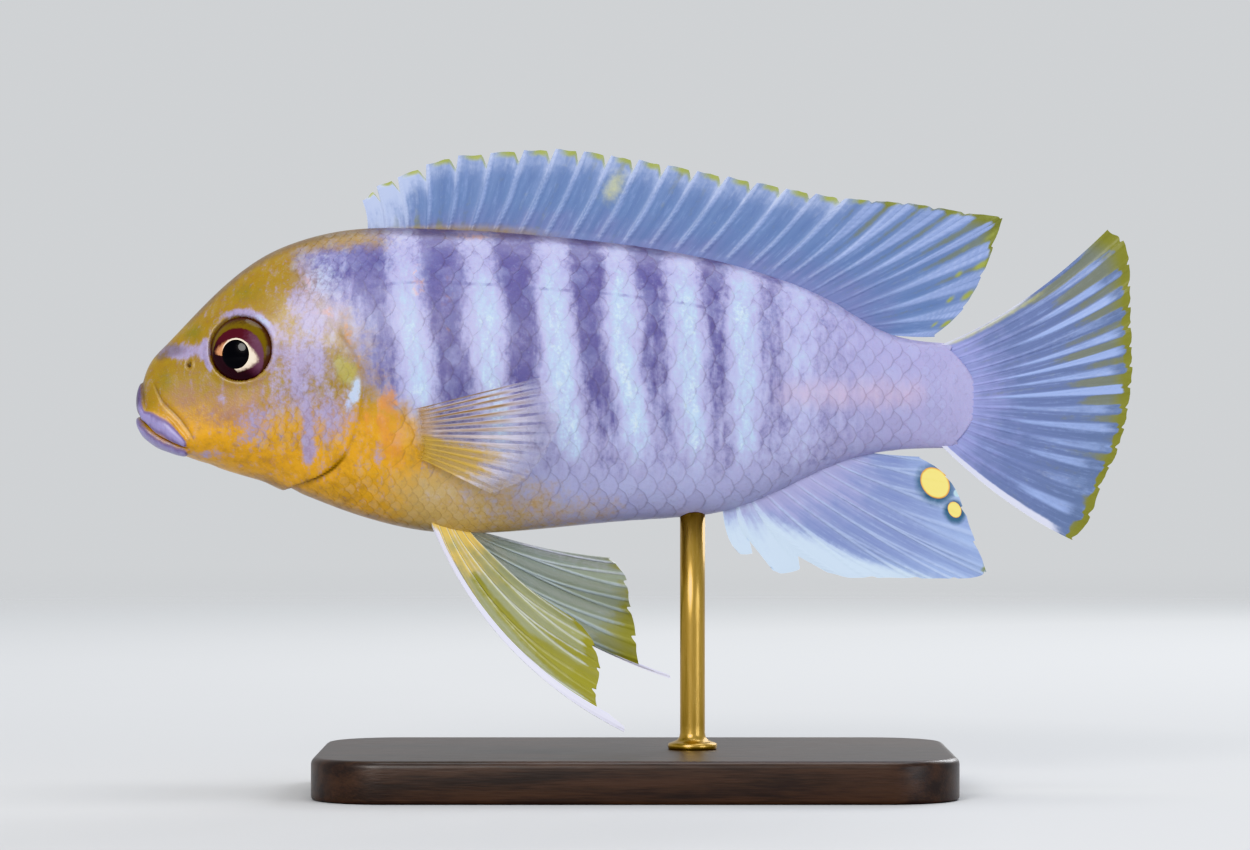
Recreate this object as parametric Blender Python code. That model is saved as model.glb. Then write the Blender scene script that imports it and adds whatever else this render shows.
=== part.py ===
# A life-size display model of a male zebra cichlid, swimming to the left over a plain stand.
# The fish swims towards -X with its back towards +Z, and the stand's foot lies on Z = 0.
import math

import bpy
import numpy as np

MM = 0.001

# The fish is laid out in millimetres: x runs back from the nose, y is across, and h is the height
# over the level line through the root of the tail.
SCALED_LENGTH = 100.5       # from the nose to the end of the scaled tail root
NOSE_X = -59.4              # the nose's place along the stand
AXIS_HEIGHT = 47.0          # the level line over the table
GAP = 0.3                   # clearance between neighbouring nodes

# Body stations: distance behind the nose, back, belly, widest level and half width.
BODY = np.array([
    (0.0, -1.9, -1.9, -1.9, 0.0),
    (0.54, 2.5, -4.1, -2.4, 2.6),
    (1.4, 4.5, -4.95, -3.1, 3.4),
    (3.0, 6.3, -5.9, -4.05, 4.25),
    (5.3, 8.7, -6.8, -4.9, 4.95),
    (8.3, 11.8, -7.9, -3.9, 5.65),
    (12.0, 15.1, -9.1, -1.3, 6.45),
    (15.5, 17.4, -10.1, 0.6, 7.1),
    (19.1, 18.9, -11.3, 1.7, 7.65),
    (24.0, 20.1, -13.2, 2.3, 8.05),
    (28.7, 20.5, -14.7, 2.5, 8.2),
    (34.7, 20.4, -15.9, 2.4, 8.25),
    (43.1, 20.0, -16.0, 2.2, 8.1),
    (50.3, 19.4, -15.4, 2.1, 7.8),
    (57.5, 18.6, -14.7, 2.0, 7.25),
    (64.7, 17.5, -14.2, 1.9, 6.55),
    (69.5, 16.5, -13.6, 1.8, 5.95),
    (76.7, 14.4, -11.0, 1.6, 4.9),
    (83.9, 11.2, -7.7, 1.5, 3.85),
    (88.7, 8.3, -6.4, 1.0, 3.2),
    (94.0, 6.9, -5.95, 0.6, 2.6),
    (100.5, 6.6, -5.9, 0.4, 1.35),
])
ROUNDNESS = np.array([      # x, fullness of the upper and of the lower half (2 is an ellipse)
    (0.0, 2.0, 2.0),
    (12.0, 2.15, 1.9),
    (30.0, 1.9, 2.2),
    (60.0, 1.85, 2.0),
    (100.5, 1.9, 1.9),
])

# Gill cover: x of its rear edge against height, from the nape to the throat.
GILL_EDGE = np.array([
    (-10.7, 17.3),
    (-9.7, 20.6),
    (-8.0, 23.6),
    (-5.0, 25.7),
    (-1.0, 26.9),
    (2.0, 27.3),
    (5.0, 26.2),
    (9.0, 23.6),
    (14.0, 21.9),
    (21.0, 21.2),
])
GILL_LIFT = 0.4             # how far the cover's edge stands proud of the flank
TAIL_CUT = 88.9             # plane between torso and tail
TAIL_ROUND = 4.0            # how far the tail root's corners lie ahead of its middle

# Mouth
MOUTH_CORNER = 5.6
LIP_HEIGHT = 0.5
LOWER_LIP = 1.15            # width of the lower lip
UPPER_LIP = 1.3             # width of the upper lip at the side
UPPER_LIP_FRONT = 2.9       # what its width gains at the front
GROOVE_DEPTH = 0.45

# Eye and nostril
EYE_AT = (12.05, 5.9)       # x, h
EYE_RADIUS = 4.5
EYE_THICKNESS = 2.7
EYE_SUNK = 1.35             # its centre lies this far under the skin
NOSTRIL_AT = (6.4, 4.0)
NOSTRIL_RADIUS = 0.5

# Stand
BASE_LENGTH, BASE_WIDTH, BASE_THICKNESS = 76.0, 46.0, 5.0
BASE_CORNER, BASE_BEVEL = 9.0, 0.8
ROD_RADIUS = 1.5
ROD_X = 66.3                # along the fish, between pelvic and anal fins


def clear_scene():
    for old in list(bpy.data.objects):
        bpy.data.objects.remove(old, do_unlink=True)


def make_material(name, colour, roughness, metallic=0.0):
    """A Principled material of one plain colour."""
    material = bpy.data.materials.new(name)
    material.use_nodes = True
    shader = material.node_tree.nodes["Principled BSDF"]
    shader.inputs["Base Color"].default_value = (*colour, 1.0)
    shader.inputs["Roughness"].default_value = roughness
    shader.inputs["Metallic"].default_value = metallic
    return material


def smooth_curve(keys, values, at):
    """A natural cubic spline through the given values, read at the places asked for."""
    keys, values, at = np.asarray(keys, float), np.asarray(values, float), np.asarray(at, float)
    step = np.diff(keys)
    count = len(keys)
    system, right = np.eye(count), np.zeros(count)
    for i in range(1, count - 1):
        system[i, i - 1:i + 2] = step[i - 1], 2 * (step[i - 1] + step[i]), step[i]
        right[i] = 6 * ((values[i + 1] - values[i]) / step[i] - (values[i] - values[i - 1]) / step[i - 1])
    bend = np.linalg.solve(system, right)
    i = np.clip(np.searchsorted(keys, at) - 1, 0, count - 2)
    a, b = (keys[i + 1] - at) / step[i], (at - keys[i]) / step[i]
    return (a * values[i] + b * values[i + 1]
            + ((a ** 3 - a) * bend[i] + (b ** 3 - b) * bend[i + 1]) * step[i] ** 2 / 6)


def ramp(low, high, value):
    """0 below low, 1 above high, smooth between."""
    t = np.clip((value - low) / (high - low), 0, 1)
    return t * t * (3 - 2 * t)


def body_row(x):
    """Back, belly, widest level and half width at x, splined over a scale that rounds the nose."""
    reach = np.sqrt(BODY[:, 0] / SCALED_LENGTH)
    u = np.sqrt(np.clip(x, 0, SCALED_LENGTH) / SCALED_LENGTH)
    return [smooth_curve(reach, BODY[:, column], u) for column in (1, 2, 3, 4)]


def plain_skin(x, turn, side):
    """A point of the body without its relief: turn runs from 0 at the back to pi at the belly."""
    back, belly, level, width = body_row(x)
    full = np.where(turn < math.pi / 2, np.interp(x, ROUNDNESS[:, 0], ROUNDNESS[:, 1]),
                    np.interp(x, ROUNDNESS[:, 0], ROUNDNESS[:, 2]))
    reach = np.where(turn < math.pi / 2, back - level, level - belly)
    power = 2 / full
    h = level + reach * np.sign(np.cos(turn)) * np.abs(np.cos(turn)) ** power
    y = side * width * np.abs(np.sin(turn)) ** power
    return np.stack([x + 0 * turn, y, h], axis=-1)


def turn_at(x, h):
    """The turn at which the plain body has height h at x."""
    back, belly, level, _ = body_row(x)
    up = h > level
    full = np.where(up, np.interp(x, ROUNDNESS[:, 0], ROUNDNESS[:, 1]),
                    np.interp(x, ROUNDNESS[:, 0], ROUNDNESS[:, 2]))
    share = np.clip(np.where(up, (h - level) / (back - level), (level - h) / (level - belly)), 0, 1)
    angle = np.arccos(share ** (full / 2))
    return np.where(up, angle, math.pi - angle)


def relief(x, h):
    """How far lips and gill cover stand out, and the mouth's groove lies in, over the plain body."""
    level = body_row(x)[2]
    off = h - level
    beside = 1 - ramp(MOUTH_CORNER - 1.2, MOUTH_CORNER + 0.4, x)
    upper = (UPPER_LIP + UPPER_LIP_FRONT * np.exp(-x / 0.4)) / 2
    lower = LOWER_LIP / 2
    pillow_up = np.sqrt(np.clip(1 - ((off - 0.1 - upper) / upper) ** 2, 0, 1))
    pillow_low = np.sqrt(np.clip(1 - ((off + 0.1 + lower) / lower) ** 2, 0, 1))
    groove = np.clip(1 - np.abs(off) / 0.16, 0, 1)
    lips = (LIP_HEIGHT * (pillow_up + pillow_low) - GROOVE_DEPTH * groove) * beside
    edge = np.interp(h, GILL_EDGE[:, 0], GILL_EDGE[:, 1])
    cover = GILL_LIFT * ramp(edge - 6.5, edge, x) * (1 - ramp(6.0, 12.0, h))
    return lips + np.where(x < edge + 0.05, cover, 0)


def skin(x, turn, side, relieved=True):
    """A point of the body, its relief raised along the plain body's own normal."""
    point = plain_skin(x, turn, side)
    if not relieved:
        return point
    small = 1e-3
    ahead = plain_skin(np.maximum(x - small, 0), turn, side)
    behind = plain_skin(x + small, turn, side)
    over = plain_skin(x, np.maximum(turn - small, 1e-5), side)
    under = plain_skin(x, np.minimum(turn + small, math.pi - 1e-5), side)
    normal = np.asarray(side)[..., None] * np.cross(over - under, behind - ahead)
    length = np.linalg.norm(normal, axis=-1, keepdims=True)
    normal = np.where(length > 1e-12, normal / np.maximum(length, 1e-12), [-1.0, 0.0, 0.0])
    return point + normal * relief(x, point[..., 2])[..., None]


def surface_frame(x, h, side):
    """The skin's point and outward normal at a place seen from the side."""
    turn = turn_at(np.asarray(x, float), np.asarray(h, float))
    small = 0.05
    point = plain_skin(x, turn, side)
    along = plain_skin(x + small, turn, side) - plain_skin(x - small, turn, side)
    down = plain_skin(x, turn + 0.01, side) - plain_skin(x, turn - 0.01, side)
    normal = np.cross(along, down) * np.asarray(side)[..., None]
    return point, normal / np.linalg.norm(normal, axis=-1, keepdims=True)


def to_scene(points):
    """Fish millimetres to scene metres."""
    return (np.asarray(points, float) + (NOSE_X, 0.0, AXIS_HEIGHT)) * MM


def enclosed_volume(points, faces):
    """Volume inside a closed mesh, negative when its faces point inwards."""
    points = points - points.mean(axis=0)
    total = 0.0
    for face in faces:
        for second, third in zip(face[1:], face[2:]):
            total += np.dot(points[face[0]], np.cross(points[second], points[third]))
    return total / 6


def add_mesh(name, points, faces, material, smooth=True):
    """One closed mesh object, its faces turned outwards."""
    if enclosed_volume(points, faces) < 0:
        faces = [face[::-1] for face in faces]
    mesh = bpy.data.meshes.new(name)
    mesh.from_pydata([tuple(p) for p in to_scene(points)], [], [tuple(f) for f in faces])
    mesh.validate()
    mesh.materials.append(material)
    if smooth:
        mesh.shade_smooth()
        mesh.set_sharp_from_angle(angle=math.radians(45))
    node = bpy.data.objects.new(name, mesh)
    bpy.context.scene.collection.objects.link(node)
    return node


def ring_faces(rings, count, first=0):
    """Quads between rings of points that go round the body."""
    faces = []
    for i in range(rings - 1):
        for k in range(count):
            a, b = first + i * count + k, first + i * count + (k + 1) % count
            faces.append((a, b, b + count, a + count))
    return faces


def cap_faces(first, count, flip):
    """A cap that rules straight across from each point of a ring to its mirror point."""
    half = count // 2
    faces = [(first, first + 1, first + count - 1)]
    for k in range(1, half - 1):
        faces.append((first + k, first + k + 1, first + count - k - 1, first + count - k))
    faces.append((first + half - 1, first + half, first + half + 1))
    return [f[::-1] for f in faces] if flip else faces


def full_turns(degrees):
    """Turns and sides of a whole ring, down the left side and up the right one."""
    turns = np.radians(degrees)
    around = np.concatenate([turns, turns[-2:0:-1]])
    sides = np.concatenate([-np.ones(len(turns)), np.ones(len(turns) - 2)])
    return around, sides


def edge_over_turn(edge, turn, guess):
    """The x at which a line of constant turn meets an edge given as x against height."""
    x = np.full_like(turn, guess)
    for _ in range(40):
        h = plain_skin(x, turn, 1.0)[..., 2]
        x = 0.6 * x + 0.4 * np.interp(h, edge[:, 0], edge[:, 1])
    return x


def shifted_edge(edge, by):
    """The same edge moved back by a clearance that is measured square to it."""
    slope = np.gradient(edge[:, 1], edge[:, 0])
    moved = edge.copy()
    moved[:, 1] += by * np.sqrt(1 + np.clip(slope, -3, 3) ** 2)
    return moved


def build_head(material):
    """Snout to gill cover: a pole in the mouth, rings whose middle line is the mouth's own."""
    degrees = [0, 12, 24, 35, 45, 54, 62, 69, 75, 79.5, 83, 86, 88.5, 90,
               94, 102, 112, 122, 132, 143, 155, 167, 180]
    turn, side = full_turns(degrees)
    rear = edge_over_turn(GILL_EDGE, turn, 24.0)
    shares = np.concatenate([np.linspace(0.05, 0.5, 12), np.linspace(0.54, 1.0, 15)])
    rings = [skin(rear * share ** 2, turn, side) for share in shares]
    pole = np.array([[GROOVE_DEPTH, 0.0, BODY[0, 1]]])
    points = np.concatenate([pole, *rings])
    count = len(turn)
    faces = [(0, 1 + (k + 1) % count, 1 + k) for k in range(count)]
    faces += ring_faces(len(rings), count, 1)
    faces += cap_faces(1 + (len(rings) - 1) * count, count, False)
    return add_mesh("head", points, faces, material)


def build_torso(material):
    """Gill opening to the end of the dorsal fin's base."""
    turn, side = full_turns(np.linspace(0, 180, 19))
    front = edge_over_turn(shifted_edge(GILL_EDGE, GAP + 0.1), turn, 24.0)
    rear = np.full_like(turn, TAIL_CUT - GAP / 2)
    rings = [skin(front + (rear - front) * share, turn, side, False) for share in np.linspace(0, 1, 25)]
    count = len(turn)
    faces = ring_faces(len(rings), count)
    faces += cap_faces(0, count, True)
    faces += cap_faces((len(rings) - 1) * count, count, False)
    return add_mesh("torso", np.concatenate(rings), faces, material)


def tail_edge():
    """The rounded end of the scaled tail root, as x against height."""
    height = np.linspace(-7.5, 7.5, 11)
    return np.stack([height, SCALED_LENGTH - TAIL_ROUND * (height / 6.4) ** 2], axis=-1)


def build_tail(material):
    """The narrow root of the tail, round ended."""
    turn, side = full_turns(np.linspace(0, 180, 15))
    front = np.full_like(turn, TAIL_CUT + GAP / 2)
    rear = edge_over_turn(tail_edge(), turn, 98.0)
    rings = [skin(front + (rear - front) * share, turn, side, False) for share in np.linspace(0, 1, 8)]
    count = len(turn)
    faces = ring_faces(len(rings), count)
    faces += cap_faces(0, count, True)
    faces += cap_faces((len(rings) - 1) * count, count, False)
    return add_mesh("tail", np.concatenate(rings), faces, material)


def ellipsoid(name, centre, axis, radius, thickness, material, grow=0.0, rounds=24, slices=12):
    """A flattened ball whose short axis points along axis."""
    axis = np.asarray(axis) / np.linalg.norm(axis)
    across = np.cross(axis, [0.0, 0.0, 1.0])
    across /= np.linalg.norm(across)
    upward = np.cross(across, axis)
    points = [np.asarray(centre) + axis * (thickness + grow)]
    for i in range(1, slices):
        tip = math.pi * i / slices
        for k in range(rounds):
            round_angle = 2 * math.pi * k / rounds
            flat = across * math.cos(round_angle) + upward * math.sin(round_angle)
            points.append(centre + flat * (radius + grow) * math.sin(tip)
                          + axis * (thickness + grow) * math.cos(tip))
    points.append(np.asarray(centre) - axis * (thickness + grow))
    faces = [(0, 1 + k, 1 + (k + 1) % rounds) for k in range(rounds)]
    for i in range(slices - 2):
        for k in range(rounds):
            a, b = 1 + i * rounds + k, 1 + i * rounds + (k + 1) % rounds
            faces.append((a, a + rounds, b + rounds, b))
    last = len(points) - 1
    faces += [(last, last - rounds + (k + 1) % rounds, last - rounds + k) for k in range(rounds)]
    return add_mesh(name, np.array(points), faces, material)


def hide_cutter(cutter):
    cutter.hide_render = True
    cutter.display_type = "WIRE"


def carve(node, cutters, name):
    """Cuts a collection of closed shapes out of a node in one Boolean, then removes them."""
    group = bpy.data.collections.new(name)
    bpy.context.scene.collection.children.link(group)
    for cutter in cutters:
        bpy.context.scene.collection.objects.unlink(cutter)
        group.objects.link(cutter)
        hide_cutter(cutter)
    cut = node.modifiers.new(name, "BOOLEAN")
    cut.operation = "DIFFERENCE"
    cut.operand_type = "COLLECTION"
    cut.collection = group
    cut.solver = "EXACT"
    graph = bpy.context.evaluated_depsgraph_get()
    carved = bpy.data.meshes.new_from_object(node.evaluated_get(graph))
    node.modifiers.clear()
    node.data = carved
    for cutter in cutters:
        bpy.data.objects.remove(cutter, do_unlink=True)
    bpy.data.collections.remove(group)


def build_eyes_and_pits(head, eye_material, plain):
    """An eye in its socket on each side, and the one nostril that this family has before it."""
    cutters = []
    for side, word in ((-1.0, "left"), (1.0, "right")):
        point, normal = surface_frame(EYE_AT[0], EYE_AT[1], side)
        centre = point - normal * EYE_SUNK
        ellipsoid("eye_" + word, centre, normal, EYE_RADIUS, EYE_THICKNESS, eye_material)
        cutters.append(ellipsoid("socket_" + word, centre, normal, EYE_RADIUS, EYE_THICKNESS, plain,
                                 grow=GAP))
        hole, out = surface_frame(NOSTRIL_AT[0], NOSTRIL_AT[1], side)
        cutters.append(ellipsoid("nostril_" + word, hole, out, NOSTRIL_RADIUS, NOSTRIL_RADIUS * 1.6,
                                 plain, rounds=10, slices=6))
    carve(head, cutters, "pits")


def sheet(name, middle, half_thickness, direction, material):
    """A closed thin fin: two faces either side of a middle sheet, split alike, and a rim between."""
    columns, rows = middle.shape[:2]
    offset = direction * half_thickness[..., None]
    points = np.concatenate([(middle + offset).reshape(-1, 3), (middle - offset).reshape(-1, 3)])
    far = columns * rows
    faces = []
    for i in range(columns - 1):
        for j in range(rows - 1):
            a, b = i * rows + j, (i + 1) * rows + j
            for corners in ((a, b, b + 1), (a, b + 1, a + 1)):
                faces.append(corners)
                faces.append(tuple(far + c for c in corners[::-1]))
    rim = [j for j in range(rows)]
    rim += [i * rows + rows - 1 for i in range(1, columns)]
    rim += [(columns - 1) * rows + j for j in range(rows - 2, -1, -1)]
    rim += [i * rows for i in range(columns - 2, 0, -1)]
    for here, there in zip(rim, rim[1:] + rim[:1]):
        faces.append((here, there, far + there))
        faces.append((here, far + there, far + here))
    return add_mesh(name, points, faces, material)


def sheet_normals(middle):
    """Normals of a grid of points, from its own neighbours."""
    along = np.gradient(middle, axis=0)
    out = np.gradient(middle, axis=1)
    normal = np.cross(along, out)
    return normal / np.maximum(np.linalg.norm(normal, axis=-1, keepdims=True), 1e-9)


def ray_columns(rays, per_gap):
    """Column places along a fin, counted in rays, with the last just before the next ray."""
    steps = {3: (0.0, 0.4, 0.84), 4: (0.0, 0.18, 0.6, 0.86)}[per_gap]
    places = [ray + step for ray in range(rays - 1) for step in steps]
    return np.array(places + [rays - 1.0])


def fin_mesh(name, roots, tips, bow, notch, rows, per_gap, root_direction, material,
             membrane=0.5, root_thickness=1.0, ridge=0.35, pleat=0.0):
    """A fin from its rays' roots and tips.

    roots and tips hold one point a ray, bow the way the rays bend, and notch how deep the edge
    falls before each ray. The sheet is thickest at its root, where it follows root_direction, and
    a ridge runs up each ray.
    """
    rays = len(roots)
    place = ray_columns(rays, per_gap)
    order = np.arange(rays)
    root = np.stack([np.interp(place, order, roots[:, c]) for c in range(3)], axis=-1)
    tip = np.stack([np.interp(place, order, tips[:, c]) for c in range(3)], axis=-1)
    bend = np.stack([np.interp(place, order, bow[:, c]) for c in range(3)], axis=-1)
    deep = np.interp(place, order, notch)
    part = place - np.floor(place)
    fall = deep * ramp(0.45, 0.86, part)
    length = np.linalg.norm(tip - root, axis=-1)
    reach = 1 - fall / np.maximum(length, 1e-6)
    share = np.linspace(0, 1, rows)[None, :, None]
    run = share * reach[:, None, None]
    middle = root[:, None] + (tip - root)[:, None] * run + bend[:, None] * (4 * run * (1 - run))
    on_ray = np.clip(1 - np.abs(place - np.round(place)) / 0.2, 0, 1)[:, None]
    flow = share[..., 0]
    half = (membrane + ridge * on_ray * (1 - 0.6 * flow)
            + (root_thickness - membrane) * (1 - ramp(0.0, 0.3, flow))) / 2
    half = half * (1 - 0.35 * ramp(0.85, 1.0, flow))
    normal = sheet_normals(middle)
    facing = np.sign((normal * root_direction).sum(-1, keepdims=True).mean())
    normal = normal * facing
    blend = (1 - ramp(0.0, 0.25, flow))[..., None]
    direction = root_direction * blend + normal * (1 - blend)
    direction /= np.linalg.norm(direction, axis=-1, keepdims=True)
    middle = middle + direction * (pleat * np.sin(math.pi * place)[:, None] * flow)[..., None]
    return sheet(name, middle, half, direction, material)


def flat_rays(roots_x, root_h, tips):
    """Roots and tips in the middle plane of the fish."""
    roots = np.stack([roots_x, 0 * roots_x, root_h], axis=-1)
    return roots, np.stack([tips[:, 0], 0 * tips[:, 0], tips[:, 1]], axis=-1)


def along_keys(keys, count, columns):
    """Values between a few key rays, for every ray from 0 to count - 1."""
    keys = np.asarray(keys, float)
    order = np.arange(count)
    return np.stack([np.interp(order, keys[:, 0], keys[:, c]) for c in range(1, columns + 1)], axis=-1)


ACROSS = np.array([0.0, 1.0, 0.0])

# Dorsal fin: 18 spines and 9 soft rays
DORSAL_SPINES, DORSAL_RAYS = 18, 27
DORSAL_ROOTS = [(0, 27.2), (5, 39.5), (13, 63.5), (17, 74.6), (22, 82.7), (26, 87.9)]
DORSAL_TIPS = [
    (0, 26.7, 23.8), (1, 28.4, 25.5), (2, 30.9, 26.7), (4, 38.2, 29.2), (7, 49.9, 30.0),
    (10, 59.9, 28.7), (14, 74.1, 26.0), (17, 84.7, 24.1), (19, 92.2, 23.5), (22, 103.6, 21.7),
    (23, 102.4, 18.2), (24, 101.0, 14.6), (25, 98.8, 10.8), (26, 95.4, 7.35),
]
DORSAL_NOTCH = [(0, 1.5), (9, 1.4), (16, 0.9), (18, 0.4), (26, 0.4)]


def build_dorsal(material):
    roots_x = along_keys(DORSAL_ROOTS, DORSAL_RAYS, 1)[:, 0]
    root_h = body_row(roots_x)[0] + GAP
    roots, tips = flat_rays(roots_x, root_h, along_keys(DORSAL_TIPS, DORSAL_RAYS, 2))
    notch = along_keys(DORSAL_NOTCH, DORSAL_RAYS, 1)[:, 0]
    backward = np.tile([0.35, 0.0, -0.2], (DORSAL_RAYS, 1))
    fin_mesh("dorsal_fin", roots, tips, backward, notch, 5, 4, ACROSS, material, pleat=0.15)


# Anal fin: 3 spines and 8 soft rays
ANAL_RAYS = 11
ANAL_ROOTS = [(0, 69.9), (10, 85.9)]
ANAL_TIPS = [
    (0, 71.9, -18.1), (1, 76.9, -20.9), (2, 84.1, -21.2), (3, 89.0, -21.6), (5, 98.3, -21.6),
    (6, 101.7, -20.8), (7, 100.2, -17.0), (8, 98.8, -12.9), (9, 96.8, -9.2), (10, 93.6, -6.9),
]
ANAL_NOTCH = [(0, 3.2), (1, 2.8), (2, 0.9), (3, 0.3), (10, 0.3)]


def build_anal(material):
    roots_x = along_keys(ANAL_ROOTS, ANAL_RAYS, 1)[:, 0]
    root_h = body_row(roots_x)[1] - GAP
    roots, tips = flat_rays(roots_x, root_h, along_keys(ANAL_TIPS, ANAL_RAYS, 2))
    notch = along_keys(ANAL_NOTCH, ANAL_RAYS, 1)[:, 0]
    bow = np.tile([-0.3, 0.0, -0.5], (ANAL_RAYS, 1))
    bow[-1] = (0.0, 0.0, -0.1)
    fin_mesh("anal_fin", roots, tips, bow, notch, 6, 4, -ACROSS, material, pleat=0.15)


# Tail fin: 16 main rays
CAUDAL_RAYS = 16
CAUDAL_TIPS = [
    (0, 116.1, 20.3), (1, 118.0, 19.0), (2, 118.8, 16.2), (4, 118.9, 11.0), (7, 119.1, 3.8),
    (9, 118.6, -1.2), (11, 117.4, -6.0), (13, 115.2, -10.8), (14, 114.1, -14.2), (15, 112.0, -17.0),
]


def build_caudal(material):
    height = np.linspace(6.3, -5.7, CAUDAL_RAYS)
    edge = tail_edge()
    roots_x = np.interp(height, edge[:, 0], edge[:, 1]) + GAP * np.sqrt(1 + (0.18 * height) ** 2)
    roots, tips = flat_rays(roots_x, height, along_keys(CAUDAL_TIPS, CAUDAL_RAYS, 2))
    share = np.linspace(1, -1, CAUDAL_RAYS)
    bow = np.stack([0 * share, 0 * share, -1.0 * np.abs(share)], axis=-1)
    notch = np.full(CAUDAL_RAYS, 0.35)
    fin_mesh("caudal_fin", roots, tips, bow, notch, 8, 3, ACROSS, material, root_thickness=1.6, pleat=0.15)


# Pectoral fins: 14 rays on the flank behind the gill cover
PECTORAL_RAYS = 14
PECTORAL_ROOT = ((33.4, -1.4), (34.2, -7.0))        # x, h of the first and last ray
PECTORAL_TIPS = [                                   # ray, x, reach out from the flank, h
    (0, 48.2, 8.4, 2.4), (2, 50.2, 9.3, 1.2), (5, 50.6, 9.8, -2.2), (8, 49.2, 9.6, -6.0),
    (11, 46.2, 8.6, -9.6), (13, 42.6, 7.0, -11.2),
]


def build_pectoral(side, name, material):
    share = np.linspace(0, 1, PECTORAL_RAYS)
    (x0, h0), (x1, h1) = PECTORAL_ROOT
    point, normal = surface_frame(x0 + (x1 - x0) * share, h0 + (h1 - h0) * share, side)
    roots = point + normal * (GAP + 0.25)
    tips = along_keys(PECTORAL_TIPS, PECTORAL_RAYS, 3)
    tips[:, 1] = side * (abs(point[:, 1].mean()) + tips[:, 1])
    bow = np.tile([0.0, side * 1.0, 0.0], (PECTORAL_RAYS, 1))
    backward = np.array([1.0, 0.0, 0.0]) * -side
    fin_mesh(name, roots, tips, bow, np.full(PECTORAL_RAYS, 0.3), 6, 3, backward, material,
             root_thickness=1.1, ridge=0.3)


# Pelvic fins: one spine and 5 rays each, x, y, h; the two are held a little apart
PELVIC_RAYS = 6
PELVIC_ROOT = ((34.9, 2.9), (39.2, 1.0))            # x and distance from the middle, first and last
LEFT_PELVIC_TIPS = [
    (0, 58.1, 12.5, -39.2), (1, 54.9, 11.2, -36.6), (2, 54.9, 9.4, -34.4), (3, 55.3, 7.4, -32.0),
    (4, 54.6, 5.4, -29.4), (5, 52.4, 3.6, -26.4),
]
RIGHT_PELVIC_TIPS = [
    (0, 63.8, 10.5, -34.1), (1, 59.9, 9.8, -32.4), (2, 59.6, 8.6, -28.8), (3, 58.9, 7.2, -25.2),
    (4, 58.4, 5.6, -21.9), (5, 56.5, 4.0, -19.2),
]
LEFT_PELVIC_BOW, RIGHT_PELVIC_BOW = (-2.3, 0.6, -2.2), (-1.3, 0.6, -2.0)


def build_pelvic(side, name, tip_keys, bow, material):
    share = np.linspace(0, 1, PELVIC_RAYS)
    (x0, y0), (x1, y1) = PELVIC_ROOT
    x, y = x0 + (x1 - x0) * share, y0 + (y1 - y0) * share
    width = body_row(x)[3]
    turn = math.pi - np.arcsin((y / width) ** (np.interp(x, ROUNDNESS[:, 0], ROUNDNESS[:, 2]) / 2))
    roots = plain_skin(x, turn, side)
    roots[:, 2] -= GAP + 0.12
    tips = along_keys(tip_keys, PELVIC_RAYS, 3) * (1, side, 1)
    bend = np.linspace(1.0, 0.25, PELVIC_RAYS)[:, None] * np.array([bow[0], side * bow[1], bow[2]])
    across = np.array([0.25, side * 1.0, 0.0])
    across /= np.linalg.norm(across)
    notch = np.array([1.2, 1.0, 0.6, 0.5, 0.4, 0.0])
    fin_mesh(name, roots, tips, bend, notch, 9, 4, across, material, root_thickness=1.1, ridge=0.4)


def build_base(material):
    """A flat slab with round corners and an eased edge."""
    outline = []
    for cx, cy, start in ((1, 1, 0), (-1, 1, 90), (-1, -1, 180), (1, -1, 270)):
        for step in range(7):
            angle = math.radians(start + 15 * step)
            outline.append((cx * (BASE_LENGTH / 2 - BASE_CORNER) + BASE_CORNER * math.cos(angle),
                            cy * (BASE_WIDTH / 2 - BASE_CORNER) + BASE_CORNER * math.sin(angle)))
    count = len(outline)
    mesh = bpy.data.meshes.new("stand_base")
    levels = [0.0, BASE_THICKNESS]
    points = [(x * MM, y * MM, level * MM) for level in levels for x, y in outline]
    faces = [tuple(range(count))[::-1], tuple(range(count, 2 * count))]
    faces += [(k, (k + 1) % count, count + (k + 1) % count, count + k) for k in range(count)]
    mesh.from_pydata(points, [], faces)
    mesh.materials.append(material)
    base = bpy.data.objects.new("stand_base", mesh)
    bpy.context.scene.collection.objects.link(base)
    eased = base.modifiers.new("eased_edge", "BEVEL")
    eased.width = BASE_BEVEL * MM
    eased.segments = 2
    eased.limit_method = "ANGLE"
    eased.angle_limit = math.radians(40)
    return base


def build_rod(material):
    """A short rod from the base up to the belly between pelvic and anal fins."""
    belly = float(body_row(np.array([ROD_X]))[1][0])
    low = BASE_THICKNESS + GAP
    high = AXIS_HEIGHT + belly - GAP
    bpy.ops.mesh.primitive_cylinder_add(vertices=24, radius=ROD_RADIUS * MM, depth=(high - low) * MM,
                                        location=((NOSE_X + ROD_X) * MM, 0, (high + low) / 2 * MM))
    rod = bpy.context.object
    rod.name = "stand_rod"
    rod.data.materials.append(material)
    rod.data.shade_smooth()
    rod.data.set_sharp_from_angle(angle=math.radians(45))
    return rod


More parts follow.
